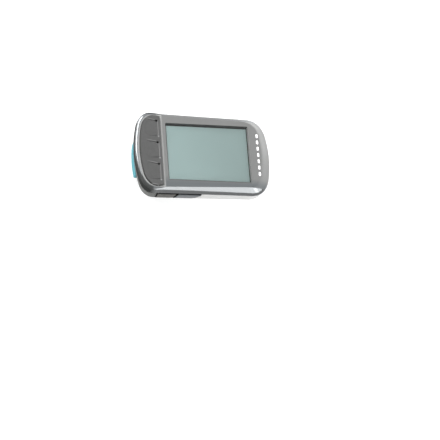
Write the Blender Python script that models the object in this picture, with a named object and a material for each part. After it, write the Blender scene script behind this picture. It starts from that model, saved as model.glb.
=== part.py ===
"""Cycling computer: a handlebar display unit built as separate casings, display, keys, board and battery.

Frame: +X from the rider's keys towards the row of lights, +Y the rider's left, +Z up out of the display.
The origin is the centre of the flat bottom face of the twist-lock mount insert, which the unit rests on.
Every dimension below is in millimetres; finish() turns the meshes into metres.
"""

import math

import bmesh
import bpy
from mathutils import Matrix, Vector

MM = 0.001

# Clearances between neighbouring pieces
GAP = 0.3
STACK_GAP = 0.1

# Heights above the insert's bottom face
KEY_TOP = 22.1
KEYPAD_TOP = 21.8
FACE_TOP = 20.9
FACE_UNDERSIDE = 19.7
CEILING = 18.7
UPPER_SHELL_BOTTOM = 17.05
LOWER_SHELL_TOP = 16.75
FLOOR = 6.0
BACK = 4.0

WALL = 1.6
GROOVE = 0.35
SEAL_Z = (16.8, 17.25)
SEAL_WIDTH = 0.5

# Upper casing: its widest height and where the rider's end starts to round over, with the nose, tail and half
# widths there and at the face, and the corner radii at the widest height and at the face
UPPER_LOW = 17.2
RIM_LOW = 19.6
NOSE_X = (37.3, 32.0)
NOSE_POWER = 1.4
RIM_X = (-37.3, -37.05, -35.3)
RIM_HALF = (23.75, 23.6, 21.5)
RIM_POWER = 1.7
RIM_START_X = -20.5
CORNER_NOSE = (10.0, 8.4)
CORNER_TAIL = (7.6, 7.9)
UPPER_HEIGHTS = (UPPER_LOW, 18.2, 19.0, 19.6, 19.95, 20.25, 20.5, 20.7, 20.83, FACE_TOP)

# Sides of the upper casing, each at the two x positions of SIDE_X: half width low on the wall and at the
# face, how far the wall and the bevel lean in per millimetre of height, and how softly the two meet
SIDE_X = (27.0, -21.0)
WALL_HALF = (23.2, 23.6)
WALL_LEAN = (0.42, 0.2)
FACE_HALF = (19.9, 21.7)
BEVEL_LEAN = 1.19
BEVEL_BLEND = 0.24

# Lower casing: height, nose x, tail x, half width at the nose and at the tail, corner radius at both
LOWER_SECTIONS = (
    (BACK, 25.0, -30.2, 15.0, 16.6, 7.5, 7.6),
    (5.2, 28.0, -32.6, 17.2, 18.8, 8.0, 7.6),
    (8.0, 33.0, -34.9, 20.4, 21.4, 9.0, 7.6),
    (11.9, 36.4, -36.25, 22.6, 23.2, 9.8, 7.6),
    (16.6, 37.3, -37.3, 23.2, 23.75, 10.0, 7.6),
)
NOSE_RADIUS = 70.0
TAIL_RADIUS = 72.0

# Display stack, centred on DISPLAY_X
DISPLAY_X = 2.85
WINDOW = (45.4, 34.0)
LENS = (44.9, 33.5)
LENS_FLANGE = (47.6, 35.8)
LENS_POCKET = (48.2, 36.4)
PANEL = (46.0, 34.2)
FRAME_OUTER = (48.4, 36.6)
FRAME_INNER = (46.6, 34.8)
FRAME_LEDGE = (43.0, 31.2)
LENS_Z = (18.5, 20.6)
FLANGE_TOP = 19.0
GASKET_Z = (19.1, 19.6)
PANEL_Z = (17.1, 18.4)
BACKLIGHT_Z = (15.8, 17.0)
FRAME_Z = (15.3, 18.3)
FRAME_LEDGE_TOP = 15.7
FLEX_THICKNESS = 0.2
FLEX_NOTCH = (-21.35, -18.85, -6.5, 6.5, 16.6, FRAME_Z[1] + 1)
FLEX_HALF_WIDTH = 6.0
FLEX_PATH = (
    (-20.4, 16.9), (-22.2, 16.9), (-22.9, 16.6), (-23.2, 15.9),
    (-23.2, 15.3), (-22.9, 14.7), (-22.2, 14.45), (-19.5, 14.45),
)

# Row of lights near the nose
LIGHT_X = 30.35
LIGHT_COUNT = 7
LIGHT_PITCH = 3.85
LIGHT_SLOT = (1.4, 2.5)
LIGHT_CLEARANCE = 0.15
LIGHT_BAR = (29.2, 31.5, -13.2, 13.2, 16.2, 17.2)
LED_STRIP = (29.0, 31.7, -12.8, 12.8)
LED_STRIP_TOP = 14.9
LED_SIZE = (1.2, 1.8)
LED_TOP = 15.6

# Keypad and its three keys
KEYPAD = (-22.5, -34.5, 21.0, 21.2, 0.8, 7.6)
KEYPAD_CLEARANCE = 0.25
KEYPAD_BOTTOM = 19.8
KEYPAD_EDGE = 0.35
SHOULDER = (1.2, 0.7, 21.0)
KEY_X = (-31.2, -24.65)
KEY_WIDTH = 9.4
KEY_PITCH = 13.1
KEY_CORNER = 1.3
KEY_TAIL_CORNER = 2.6
KEY_BOTTOM = 20.2
KEY_EDGE = 0.35
STEM_X = -26.6
STEM_Y = 11.0
STEM_RADIUS = 1.1
STEM_BOTTOM = 16.05
STEM_CLEARANCE = 0.35
SWITCH_SIDE = 3.6
SWITCH_HEIGHT = 1.0
SWITCH_NUB = (0.9, 1.3)

# Side keys: outlines seen from the side, as (x, z)
ZOOM_DOWN_OUTLINE = ((-25.3, 10.0), (-17.0, 10.0), (-14.9, 16.5), (-25.3, 16.5))
ZOOM_UP_OUTLINE = ((-15.7, 10.0), (-6.2, 10.0), (-1.8, 15.0), (-1.8, 16.5), (-13.6, 16.5))
ZOOM_NOTCH_OUTLINE = ((-26.2, 9.7), (-6.06, 9.7), (-1.5, 14.88), (-1.5, 17.6), (-26.2, 17.6))
POWER_OUTLINE = ((-20.0, 11.3), (-9.0, 11.3), (-9.0, 16.5), (-20.0, 16.5))
POWER_NOTCH_OUTLINE = ((-20.3, 11.0), (-8.7, 11.0), (-8.7, 17.6), (-20.3, 17.6))
NOTCH_Y = (20.0, 26.0)
SIDE_KEY_LEDGE = (15.7, 0.9)
SIDE_KEY_HEIGHTS = (9.5, 10.5, 11.9, 16.6)
SIDE_KEY_INNER_Y = 18.0
SIDE_KEY_PROUD = 0.15
SIDE_KEY_DEPTH = 2.4
SIDE_FLANGE = 0.6
SIDE_FLANGE_TOP = 16.2
SIDE_STEM = (2.4, 1.4)
SIDE_STEM_Z = 14.9
SIDE_STEM_TIP = 19.8
SIDE_STEM_ROOT = 21.6
SIDE_SEAL_Y = (19.75, 19.95)
SIDE_SEAL_BOTTOM = 12.0
ZOOM_SEAL_X = (-25.9, -1.8)
POWER_SEAL_X = (-20.8, -8.2)
SIDE_SWITCH = (3.6, 18.6, 19.45, 14.3, 15.7)
ZOOM_DOWN_X = -21.0
ZOOM_UP_X = -8.9
POWER_X = -14.5
ZOOM_FLANGE_END = -17.2
ZOOM_FLANGE_START = -13.4

# Circuit board
BOARD_Z = (13.0, 14.2)
BOARD_HALF = ((-27.2, 27.3), 19.4)
BOARD_TABS = ((-33.0, 33.2), 12.9)

# Charging port and its hinged rubber cover at the tail
COVER_WIDTH = 20.0
COVER_Z = (6.4, 12.2)
COVER_OUTER_X = -36.45
COVER_INNER_X = -34.45
COVER_CORNER = 1.4
COVER_HINGE = (-35.5, 7.0)
POCKET_X = -34.1
PORT_BLOCK = (-34.4, -32.6, -11.9, 11.9, 5.0, 12.8)
PORT_HOLE = (-35.0, -32.0, -4.6, 4.6, 8.2, 11.7)
PLUG = (-34.6, -33.7, -3.9, 3.9, 8.5, 11.2)
SOCKET = (-33.3, -28.3, -3.75, 3.75, 8.65, 11.15)
SOCKET_SHEET = 0.35
SOCKET_DEPTH = 4.0
SOCKET_TONGUE = 0.6
SOCKET_TONGUE_HALF = 2.6
PORT_GASKET = (-32.4, -31.95, -5.6, 5.6, 8.0, 12.0)
PORT_BOARD = (-31.6, -24.5, -6.5, 6.5, 7.5, 8.4)
BOARD_CONNECTOR = (-27.6, -25.4, -4.0, 4.0, 8.5, BOARD_Z[0] - STACK_GAP)
COVER_BOW = (0.0, COVER_OUTER_X, 20.0, 22.0, 8.0, 10.0)
ANCHOR = (-34.0, -31.9, -2.2, 2.2, 6.5, 7.7)
ANCHOR_CLEARANCE = 0.15

# Case screws: x, y and the height of the seat under the head
CASE_SCREWS = ((-29.8, -15.5, 7.8), (-29.8, 15.5, 7.8), (29.8, -15.9, 10.2), (29.8, 15.9, 10.2))
BOSS_RADIUS = 2.1
SCREW_HEAD_RADIUS = 1.5
SCREW_HEAD = 0.9
SCREW_RADIUS = 0.8
SCREW_CLEARANCE = 0.2
SCREW_TOP = 18.0
SCREW_DRIVE = 0.75
SCREW_DRIVE_DEPTH = 0.5

# Twist-lock mount insert
INSERT_FLANGE_RADIUS = 12.4
INSERT_NECK_RADIUS = 9.8
INSERT_TAB_RADIUS = 13.2
INSERT_TAB_TOP = 1.6
INSERT_TAB_ANGLE = 62.0
INSERT_FLANGE_Z = (3.4, 4.6)
INSERT_SEAT = 4.9
INSERT_SCREW_X = 6.4
INSERT_SCREW_TOP = 5.8
INSERT_SCREW_HEAD_Z = (0.4, 1.4)
INSERT_COUNTERBORE = 1.6

# Battery
BATTERY = (-18.5, 18.5, -16.0, 16.0, 7.0, 12.4)
BATTERY_CORNER = 1.6
BATTERY_PAD = (-16.0, 16.0, -13.0, 13.0, FLOOR + STACK_GAP, BATTERY[4] - STACK_GAP)
BATTERY_LEAD = ((18.8, 9.4), (20.0, 9.4), (20.6, 9.7), (20.8, 10.3), (20.8, 11.2))
BATTERY_LEAD_Y = (8.6, 11.6)

# Parts on the main board: (low x, high x, low y, high y, low z, high z)
UNDER_BOARD = BOARD_Z[0] - STACK_GAP
OVER_BOARD = BOARD_Z[1] + STACK_GAP
BATTERY_CONNECTOR = (19.4, 22.4, 8.0, 12.2, 11.5, UNDER_BOARD)
GPS_ANTENNA = (32.0, 34.0, -9.0, 9.0, OVER_BOARD, 17.3)
PROCESSOR_SHIELD = (19.4, 27.0, -14.5, -1.0, 11.0, UNDER_BOARD)
RADIO_SHIELD = (19.4, 27.0, 0.2, 6.8, 11.0, UNDER_BOARD)
BAROMETER = (-25.0, -22.5, -12.0, -9.5, 11.9, UNDER_BOARD)
BUZZER = ((-23.6, 11.0), 3.8, 10.0)

# Pressure vent in the floor of the lower casing
VENT_CENTRE = (-24.0, -9.5)
VENT_HOLE_RADIUS = 0.5
VENT_MEMBRANE = (2.2, 0.25)

END_STEPS = 3
CORNER_STEPS = 7
SIDE_STEPS = 14
BEZIER_HANDLE = 0.5523


def clear_scene():
    for thing in list(bpy.data.objects):
        bpy.data.objects.remove(thing, do_unlink=True)


# Outlines


def bezier(start, start_way, end, end_way, handle, steps):
    """Points after start and up to end of a cubic curve that leaves on start_way and arrives on end_way."""
    start = Vector(start)
    end = Vector(end)
    first = start + Vector(start_way).normalized() * handle
    second = end - Vector(end_way).normalized() * handle
    points = []
    for step in range(1, steps + 1):
        t = step / steps
        u = 1 - t
        points.append(start * u**3 + first * (3 * u * u * t) + second * (3 * u * t * t) + end * t**3)
    return points


def mixed(a, b, share):
    return a + (b - a) * share


def eased(share):
    """0 to 1 with a soft start and end."""
    share = min(max(share, 0.0), 1.0)
    return share * share * (3 - 2 * share)


def casing_outline(
    nose, tail, half_nose, half_tail, corner_nose, corner_tail, nose_bow=NOSE_RADIUS, side=None
):
    """A closed outline, anticlockwise from the middle of the nose: bowed ends, straight sides, round corners.

    If side is given, it is the half width at each x between the corners, up to RIM_START_X, where it widens
    to half_tail.
    """
    nose_end = half_nose - corner_nose
    tail_end = half_tail - corner_tail
    half = []
    for step in range(END_STEPS + 1):
        y = nose_end * step / END_STEPS
        half.append(Vector((nose - y * y / (2 * nose_bow), y)))
    nose_side = Vector((half[-1].x - corner_nose, half_nose))
    tail_corner = Vector((tail + tail_end**2 / (2 * TAIL_RADIUS), tail_end))
    tail_side = Vector((tail_corner.x + corner_tail, half_tail))
    if side is None:
        arriving = leaving = tail_side - nose_side
    else:
        nose_side.y = side(nose_side.x)
        arriving = Vector((-1, side(nose_side.x - 1) - nose_side.y))
        leaving = Vector((-1, 0))
    half += bezier(
        half[-1], (-nose_end / nose_bow, 1), nose_side, arriving, corner_nose * BEZIER_HANDLE, CORNER_STEPS
    )
    for step in range(1, SIDE_STEPS + 1):
        point = nose_side.lerp(tail_side, step / SIDE_STEPS)
        if side is not None:
            widening = eased((RIM_START_X - point.x) / (RIM_START_X - tail_side.x))
            point.y = mixed(side(point.x), half_tail, widening)
        half.append(point)
    half += bezier(
        tail_side, leaving, tail_corner, (-tail_end / TAIL_RADIUS, -1), corner_tail * BEZIER_HANDLE,
        CORNER_STEPS,
    )
    for step in range(1, END_STEPS + 1):
        y = tail_end * (1 - step / END_STEPS)
        half.append(Vector((tail + y * y / (2 * TAIL_RADIUS), y)))
    mirrored = [Vector((point.x, -point.y)) for point in reversed(half[1:-1])]
    return half + mirrored


def grown_outline(row, grow, nose_bow=NOSE_RADIUS, side=None):
    """The outline of a row of measures, grown outwards by grow."""
    nose, tail, half_nose, half_tail, corner_nose, corner_tail = row
    return casing_outline(
        nose + grow,
        tail - grow,
        half_nose + grow,
        half_tail + grow,
        corner_nose + grow,
        corner_tail + grow,
        nose_bow,
        side and (lambda x: side(x) + grow),
    )


def rim_curve(values, z):
    """From values[0] at the widest height to values[1] at RIM_LOW, then rounding to values[2] at the face."""
    if z <= RIM_LOW:
        return mixed(values[0], values[1], max(z - UPPER_LOW, 0.0) / (RIM_LOW - UPPER_LOW))
    share = (z - RIM_LOW) / (FACE_TOP - RIM_LOW)
    return values[2] - (values[2] - values[1]) * (1 - share**RIM_POWER) ** (1 / RIM_POWER)


def side_half(x, z):
    """Half width of the upper casing at x and height z: a leaning wall, softly cut by the bevel above it."""
    share = (SIDE_X[0] - x) / (SIDE_X[0] - SIDE_X[1])
    wall = mixed(*WALL_HALF, share) - (z - UPPER_LOW) * mixed(*WALL_LEAN, share)
    bevel = mixed(*FACE_HALF, share) + (FACE_TOP - z) * BEVEL_LEAN
    apart = abs(wall - bevel)
    return min(wall, bevel) - max(BEVEL_BLEND - apart, 0.0) ** 2 / (4 * BEVEL_BLEND)


def upper_outline(z, grow=0.0):
    """The upper casing's outline at height z, grown outwards by grow."""
    z = max(z, UPPER_LOW)
    t = (z - UPPER_LOW) / (FACE_TOP - UPPER_LOW)
    nose = NOSE_X[1] + (NOSE_X[0] - NOSE_X[1]) * (1 - t**NOSE_POWER) ** (1 / NOSE_POWER)
    corner_nose = mixed(CORNER_NOSE[0], CORNER_NOSE[1], t)
    row = (
        nose,
        rim_curve(RIM_X, z),
        side_half(nose - corner_nose, z),
        rim_curve(RIM_HALF, z),
        corner_nose,
        mixed(CORNER_TAIL[0], CORNER_TAIL[1], t),
    )
    return grown_outline(row, grow, side=lambda x: side_half(x, z))


def lower_outline(z, grow=0.0):
    """The lower casing's outline at height z, grown outwards by grow."""
    z = min(max(z, LOWER_SECTIONS[0][0]), LOWER_SECTIONS[-1][0])
    low, high = next(pair for pair in zip(LOWER_SECTIONS, LOWER_SECTIONS[1:]) if z <= pair[1][0])
    share = (z - low[0]) / (high[0] - low[0])
    return grown_outline([mixed(a, b, share) for a, b in zip(low[1:], high[1:])], grow)


def rounded_rectangle(length, width, radius, centre=(0.0, 0.0), steps=4, tail_radius=None):
    """Anticlockwise points of a rectangle with arc corners, those at the low x end of tail_radius if given."""
    points = []
    low_radius = radius if tail_radius is None else tail_radius
    corners = ((1, 1, 0, radius), (-1, 1, 90, low_radius), (-1, -1, 180, low_radius), (1, -1, 270, radius))
    for side_x, side_y, first, bend in corners:
        middle_x = centre[0] + side_x * (length / 2 - bend)
        middle_y = centre[1] + side_y * (width / 2 - bend)
        for step in range(steps + 1):
            angle = math.radians(first + 90 * step / steps)
            points.append(Vector((middle_x + bend * math.cos(angle), middle_y + bend * math.sin(angle))))
    return points


def circle(radius, centre=(0.0, 0.0), count=24):
    angles = [2 * math.pi * step / count for step in range(count)]
    return [Vector((centre[0] + radius * math.cos(a), centre[1] + radius * math.sin(a))) for a in angles]


# Solids, as bmeshes


def at_height(points, z):
    return [Vector((point[0], point[1], z)) for point in points]


def loft(rings, capped=True):
    """A closed solid through rings of points; uncapped, the last ring joins the first round a hole."""
    mesh = bmesh.new()
    loops = [[mesh.verts.new(point) for point in ring] for ring in rings]
    count = len(rings[0])
    pairs = list(zip(loops, loops[1:]))
    if not capped:
        pairs.append((loops[-1], loops[0]))
    for low, high in pairs:
        for index in range(count):
            after = (index + 1) % count
            mesh.faces.new((low[index], low[after], high[after], high[index]))
    if capped:
        mesh.faces.new(list(reversed(loops[0])))
        mesh.faces.new(loops[-1])
    bmesh.ops.recalc_face_normals(mesh, faces=mesh.faces)
    return mesh


def prism(points, low, high):
    return loft([at_height(points, low), at_height(points, high)])


def box(size):
    """A box from (low x, high x, low y, high y, low z, high z)."""
    low_x, high_x, low_y, high_y, low_z, high_z = size
    corners = ((low_x, low_y), (high_x, low_y), (high_x, high_y), (low_x, high_y))
    return prism(corners, low_z, high_z)


def cylinder(centre, radius, low, high, count=24):
    return prism(circle(radius, centre, count), low, high)


def side_prism(outline, side, inner, outer):
    """An (x, z) outline pushed through from |y| inner to outer, on the side whose sign is given."""
    mesh = prism(outline, inner, outer)
    turn = Matrix(((1, 0, 0, 0), (0, 0, side, 0), (0, 1, 0, 0), (0, 0, 0, 1)))
    bmesh.ops.transform(mesh, matrix=turn, verts=mesh.verts)
    bmesh.ops.recalc_face_normals(mesh, faces=mesh.faces)
    return mesh


def end_prism(points, low_x, high_x):
    """A (y, z) outline pushed through from low_x to high_x."""
    mesh = prism(points, low_x, high_x)
    turn = Matrix(((0, 0, 1, 0), (1, 0, 0, 0), (0, 1, 0, 0), (0, 0, 0, 1)))
    bmesh.ops.transform(mesh, matrix=turn, verts=mesh.verts)
    bmesh.ops.recalc_face_normals(mesh, faces=mesh.faces)
    return mesh


def strip(path, low_y, high_y, thickness):
    """A flat flexible strip whose edge follows an (x, z) path."""
    upper = []
    lower = []
    for index, point in enumerate(path):
        before = Vector(path[max(index - 1, 0)])
        after = Vector(path[min(index + 1, len(path) - 1)])
        way = (after - before).normalized()
        offset = Vector((-way.y, way.x)) * (thickness / 2)
        upper.append(Vector(point) + offset)
        lower.append(Vector(point) - offset)
    return side_prism(upper + lower[::-1], 1, low_y, high_y)


def scratch_object(mesh):
    data = bpy.data.meshes.new("scratch")
    mesh.to_mesh(data)
    mesh.free()
    thing = bpy.data.objects.new("scratch", data)
    bpy.context.collection.objects.link(thing)
    return thing


def combined(base, others, operation):
    """The base solid with the others cut away, joined on, or kept in common, by exact Booleans."""
    holder = scratch_object(base)
    tools = [scratch_object(other) for other in others]
    for tool in tools:
        modifier = holder.modifiers.new("tool", "BOOLEAN")
        modifier.operation = operation
        modifier.solver = "EXACT"
        modifier.object = tool
    result = bmesh.new()
    result.from_object(holder, bpy.context.evaluated_depsgraph_get())
    for thing in [holder, *tools]:
        bpy.data.objects.remove(thing, do_unlink=True)
    return result


def cut(base, *others):
    return combined(base, others, "DIFFERENCE")


def joined(base, *others):
    return combined(base, others, "UNION")


def common(base, *others):
    return combined(base, others, "INTERSECT")


def flat_ring(outer, inner, low, high):
    """A flat ring between two outlines, from height low to high."""
    edges = ((outer, low), (outer, high), (inner, high), (inner, low))
    return loft([at_height(outline, z) for outline, z in edges], capped=False)


def display_rectangle(size, radius):
    return rounded_rectangle(size[0], size[1], radius, (DISPLAY_X, 0.0))


def hexagon_drive(centre, z):
    """The cutter for a hexagon socket in the underside of a screw head at height z."""
    return cylinder(centre, SCREW_DRIVE, z - 1, z + SCREW_DRIVE_DEPTH, 6)


# Objects


def material(name, colour, roughness, metallic=0.0, transmission=0.0):
    made = bpy.data.materials.new(name)
    made.use_nodes = True
    shader = made.node_tree.nodes["Principled BSDF"]
    shader.inputs["Base Color"].default_value = (*colour, 1.0)
    shader.inputs["Roughness"].default_value = roughness
    shader.inputs["Metallic"].default_value = metallic
    shader.inputs["Transmission Weight"].default_value = transmission
    made.diffuse_color = (*colour, 1.0)
    return made


def finish(name, mesh, look, origin=(0.0, 0.0, 0.0), bevel=0.0):
    """The named object of a bmesh in millimetres, with its origin at the given point."""
    bmesh.ops.translate(mesh, vec=-Vector(origin), verts=mesh.verts)
    bmesh.ops.scale(mesh, vec=(MM, MM, MM), verts=mesh.verts)
    data = bpy.data.meshes.new(name)
    mesh.to_mesh(data)
    mesh.free()
    data.materials.append(look)
    data.shade_smooth()
    data.set_sharp_from_angle(angle=math.radians(32))
    thing = bpy.data.objects.new(name, data)
    thing.location = Vector(origin) * MM
    bpy.context.collection.objects.link(thing)
    if bevel:
        edge = thing.modifiers.new("edge", "BEVEL")
        edge.width = bevel * MM
        edge.segments = 1
        edge.limit_method = "ANGLE"
    return thing


# Casings


def light_places():
    """The y of each light."""
    return [(index - (LIGHT_COUNT - 1) / 2) * LIGHT_PITCH for index in range(LIGHT_COUNT)]


def light_posts(grow, low, high):
    """The light slots or the posts that fill them, as separate solids."""
    posts = []
    for y in light_places():
        length = LIGHT_SLOT[0] + 2 * grow
        width = LIGHT_SLOT[1] + 2 * grow
        outline = rounded_rectangle(length, width, length * 0.49, (LIGHT_X, y), 3)
        posts.append(prism(outline, low, high))
    return posts


def key_outline(y, grow=0.0):
    centre = ((KEY_X[0] + KEY_X[1]) / 2, y)
    length = KEY_X[1] - KEY_X[0] + 2 * grow
    width = KEY_WIDTH + 2 * grow
    return rounded_rectangle(length, width, KEY_CORNER + grow, centre, 3, KEY_TAIL_CORNER + grow)


def keypad_outline(grow):
    return grown_outline(KEYPAD, grow, nose_bow=1e4)


def shoulder_cutter():
    """What is taken off the face to leave a rounded shoulder along the keypad's screen side."""
    width, drop, half = SHOULDER
    edge = KEYPAD[0] + KEYPAD_CLEARANCE
    outline = [(edge - 0.4, FACE_TOP + 0.5), (edge - 0.4, FACE_TOP - drop)]
    for degrees in (0, 20, 40, 60):
        angle = math.radians(degrees)
        outline.append((edge + width * (1 - math.cos(angle)), FACE_TOP - drop + drop * math.sin(angle)))
    outline += [(edge + width * 1.1, FACE_TOP + 0.1), (edge + width * 1.1, FACE_TOP + 0.5)]
    return side_prism(outline, 1, -half, half)


def make_upper_housing(look):
    rings = [at_height(upper_outline(UPPER_LOW, -GROOVE), UPPER_SHELL_BOTTOM)]
    rings += [at_height(upper_outline(z), z) for z in UPPER_HEIGHTS]
    inner_heights = (UPPER_SHELL_BOTTOM - 1, 17.2, 18.2, CEILING)
    cavity = loft([at_height(upper_outline(z, -WALL), z) for z in inner_heights])
    bosses = [cylinder((x, y), BOSS_RADIUS, UPPER_SHELL_BOTTOM, CEILING + 1) for x, y, _ in CASE_SCREWS]
    cavity = cut(cavity, *bosses)
    stem_hole = STEM_RADIUS + STEM_CLEARANCE
    screw_hole = SCREW_RADIUS + SCREW_CLEARANCE
    holes = [cylinder((STEM_X, STEM_Y * side), stem_hole, CEILING - 1, FACE_TOP) for side in (-1, 0, 1)]
    holes += [cylinder((x, y), screw_hole, LOWER_SHELL_TOP, SCREW_TOP + GAP) for x, y, _ in CASE_SCREWS]
    holes += light_posts(LIGHT_CLEARANCE, CEILING - 1, FACE_TOP + 1)
    pocket = prism(display_rectangle(LENS_POCKET, 1.0), CEILING - 0.5, FACE_UNDERSIDE)
    window = prism(display_rectangle(WINDOW, 0.6), FACE_UNDERSIDE - 0.5, FACE_TOP + 1)
    recess = prism(keypad_outline(KEYPAD_CLEARANCE), FACE_UNDERSIDE, FACE_TOP + 1)
    body = cut(loft(rings), cavity, pocket, window, recess, shoulder_cutter(), *holes)
    finish("upper_housing", body, look)


def make_lower_housing(look):
    rings = [at_height(lower_outline(row[0]), row[0]) for row in LOWER_SECTIONS]
    rings.append(at_height(lower_outline(LOWER_SHELL_TOP, -GROOVE), LOWER_SHELL_TOP))
    inner_heights = (FLOOR, 8.0, 11.9, 16.6, LOWER_SHELL_TOP + 1)
    cavity = loft([at_height(lower_outline(z, -WALL), z) for z in inner_heights])
    bosses = [cylinder((x, y), BOSS_RADIUS, BACK, LOWER_SHELL_TOP) for x, y, _ in CASE_SCREWS]
    cavity = cut(cavity, box(PORT_BLOCK), *bosses)
    cover_pocket = rounded_rectangle(
        COVER_WIDTH + 2 * GAP,
        COVER_Z[1] - COVER_Z[0] + 2 * GAP,
        COVER_CORNER,
        (0.0, (COVER_Z[0] + COVER_Z[1]) / 2),
    )
    screw_hole = SCREW_RADIUS + SCREW_CLEARANCE
    cutters = [
        end_prism(cover_pocket, -40.0, POCKET_X),
        box(PORT_HOLE),
        box(grown(ANCHOR, ANCHOR_CLEARANCE)),
        side_prism(ZOOM_NOTCH_OUTLINE, -1, *NOTCH_Y),
        side_prism(POWER_NOTCH_OUTLINE, 1, *NOTCH_Y),
        cylinder((0.0, 0.0), INSERT_FLANGE_RADIUS + GAP, BACK - 1, INSERT_SEAT, 48),
        cylinder(VENT_CENTRE, VENT_HOLE_RADIUS, BACK - 1, FLOOR + 1, 12),
    ]
    for x in (-INSERT_SCREW_X, INSERT_SCREW_X):
        cutters.append(cylinder((x, 0.0), screw_hole, BACK - 1, FLOOR + 1))
    for x, y, seat in CASE_SCREWS:
        cutters.append(cylinder((x, y), SCREW_HEAD_RADIUS + GAP, BACK - 2, seat))
        cutters.append(cylinder((x, y), screw_hole, seat - 1, LOWER_SHELL_TOP + 1))
    finish("lower_housing", cut(loft(rings), cavity, *cutters), look)


def grown(size, by):
    return tuple(value + (by if index % 2 else -by) for index, value in enumerate(size))


def make_case_seal(look):
    low, high = SEAL_Z
    outer = lower_outline(high, -WALL - GAP)
    inner = lower_outline(high, -WALL - GAP - SEAL_WIDTH)
    finish("case_seal", flat_ring(outer, inner, low, high), look)


def make_case_screws(look):
    for number, (x, y, seat) in enumerate(CASE_SCREWS, 1):
        head = cylinder((x, y), SCREW_HEAD_RADIUS, seat - GAP / 2 - SCREW_HEAD, seat - GAP / 2)
        shank = cylinder((x, y), SCREW_RADIUS, seat - SCREW_HEAD + GAP, SCREW_TOP, 16)
        drive = hexagon_drive((x, y), seat - GAP / 2 - SCREW_HEAD)
        finish(f"case_screw_{number}", cut(joined(head, shank), drive), look)


# Mount insert


def insert_tab(middle):
    """One quarter-turn tab, a sector reaching out from inside the neck."""
    first = math.radians(middle - INSERT_TAB_ANGLE / 2)
    steps = 10
    outer = []
    inner = []
    for step in range(steps + 1):
        angle = first + math.radians(INSERT_TAB_ANGLE) * step / steps
        way = Vector((math.cos(angle), math.sin(angle)))
        outer.append(way * INSERT_TAB_RADIUS)
        inner.append(way * (INSERT_NECK_RADIUS - 1.5))
    return prism(outer + inner[::-1], 0.0, INSERT_TAB_TOP)


def make_mount_insert(look):
    neck = cylinder((0.0, 0.0), INSERT_NECK_RADIUS, 0.0, INSERT_FLANGE_Z[1] - 0.4, 48)
    flange = cylinder((0.0, 0.0), INSERT_FLANGE_RADIUS, *INSERT_FLANGE_Z, 48)
    body = joined(neck, flange, insert_tab(0.0), insert_tab(180.0))
    holes = []
    for x in (-INSERT_SCREW_X, INSERT_SCREW_X):
        holes.append(cylinder((x, 0.0), SCREW_HEAD_RADIUS + GAP, -1.0, INSERT_COUNTERBORE))
        holes.append(cylinder((x, 0.0), SCREW_RADIUS + SCREW_CLEARANCE, 1.0, FLOOR))
    finish("mount_insert", cut(body, *holes), look)


def make_insert_screws(look):
    low, high = INSERT_SCREW_HEAD_Z
    for number, x in enumerate((-INSERT_SCREW_X, INSERT_SCREW_X), 1):
        head = cylinder((x, 0.0), SCREW_HEAD_RADIUS, low, high)
        shank = cylinder((x, 0.0), SCREW_RADIUS, high - 0.2, INSERT_SCREW_TOP, 16)
        finish(f"insert_screw_{number}", cut(joined(head, shank), hexagon_drive((x, 0.0), low)), look)


# Display


def make_display(looks):
    flange = display_rectangle(LENS_FLANGE, 0.8)
    lens = display_rectangle(LENS, 0.5)
    rings = [
        at_height(flange, LENS_Z[0]),
        at_height(flange, FLANGE_TOP),
        at_height(lens, FLANGE_TOP),
        at_height(lens, LENS_Z[1]),
    ]
    finish("display_lens", loft(rings), looks["clear"])
    inner = display_rectangle((LENS[0] + 2 * GAP, LENS[1] + 2 * GAP), 0.5)
    finish("lens_gasket", flat_ring(flange, inner, *GASKET_Z), looks["rubber"])
    panel = display_rectangle(PANEL, 0.4)
    finish("lcd_panel", prism(panel, *PANEL_Z), looks["screen"])
    finish("backlight_unit", prism(panel, *BACKLIGHT_Z), looks["white"])
    outer = display_rectangle(FRAME_OUTER, 1.2)
    inner = display_rectangle(FRAME_INNER, 0.5)
    ledge = display_rectangle(FRAME_LEDGE, 0.5)
    rings = [
        at_height(outer, FRAME_Z[0]),
        at_height(outer, FRAME_Z[1]),
        at_height(inner, FRAME_Z[1]),
        at_height(inner, FRAME_LEDGE_TOP),
        at_height(ledge, FRAME_LEDGE_TOP),
        at_height(ledge, FRAME_Z[0]),
    ]
    finish("display_frame", cut(loft(rings, capped=False), box(FLEX_NOTCH)), looks["black"])
    cable = strip(FLEX_PATH, -FLEX_HALF_WIDTH, FLEX_HALF_WIDTH, FLEX_THICKNESS)
    finish("lcd_flex_cable", cable, looks["flex"])


def make_lights(looks):
    bar = box(LIGHT_BAR)
    posts = light_posts(0.0, LIGHT_BAR[5] - 0.4, FACE_TOP)
    finish("light_pipe", joined(bar, *posts), looks["white"])
    strip_board = box((*LED_STRIP, OVER_BOARD, LED_STRIP_TOP))
    half_x = LED_SIZE[0] / 2
    half_y = LED_SIZE[1] / 2
    chips = []
    low = LED_STRIP_TOP - 0.2
    for y in light_places():
        chips.append(box((LIGHT_X - half_x, LIGHT_X + half_x, y - half_y, y + half_y, low, LED_TOP)))
    finish("led_board", joined(strip_board, *chips), looks["board"])


# Keys


def key_top(x):
    """The height of a key's top: level with the keypad at the rider's side, proud at the screen side."""
    share = (x - KEY_X[0]) / (KEY_X[1] - KEY_X[0])
    return KEYPAD_TOP + (KEY_TOP - KEYPAD_TOP) * share**2


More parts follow.
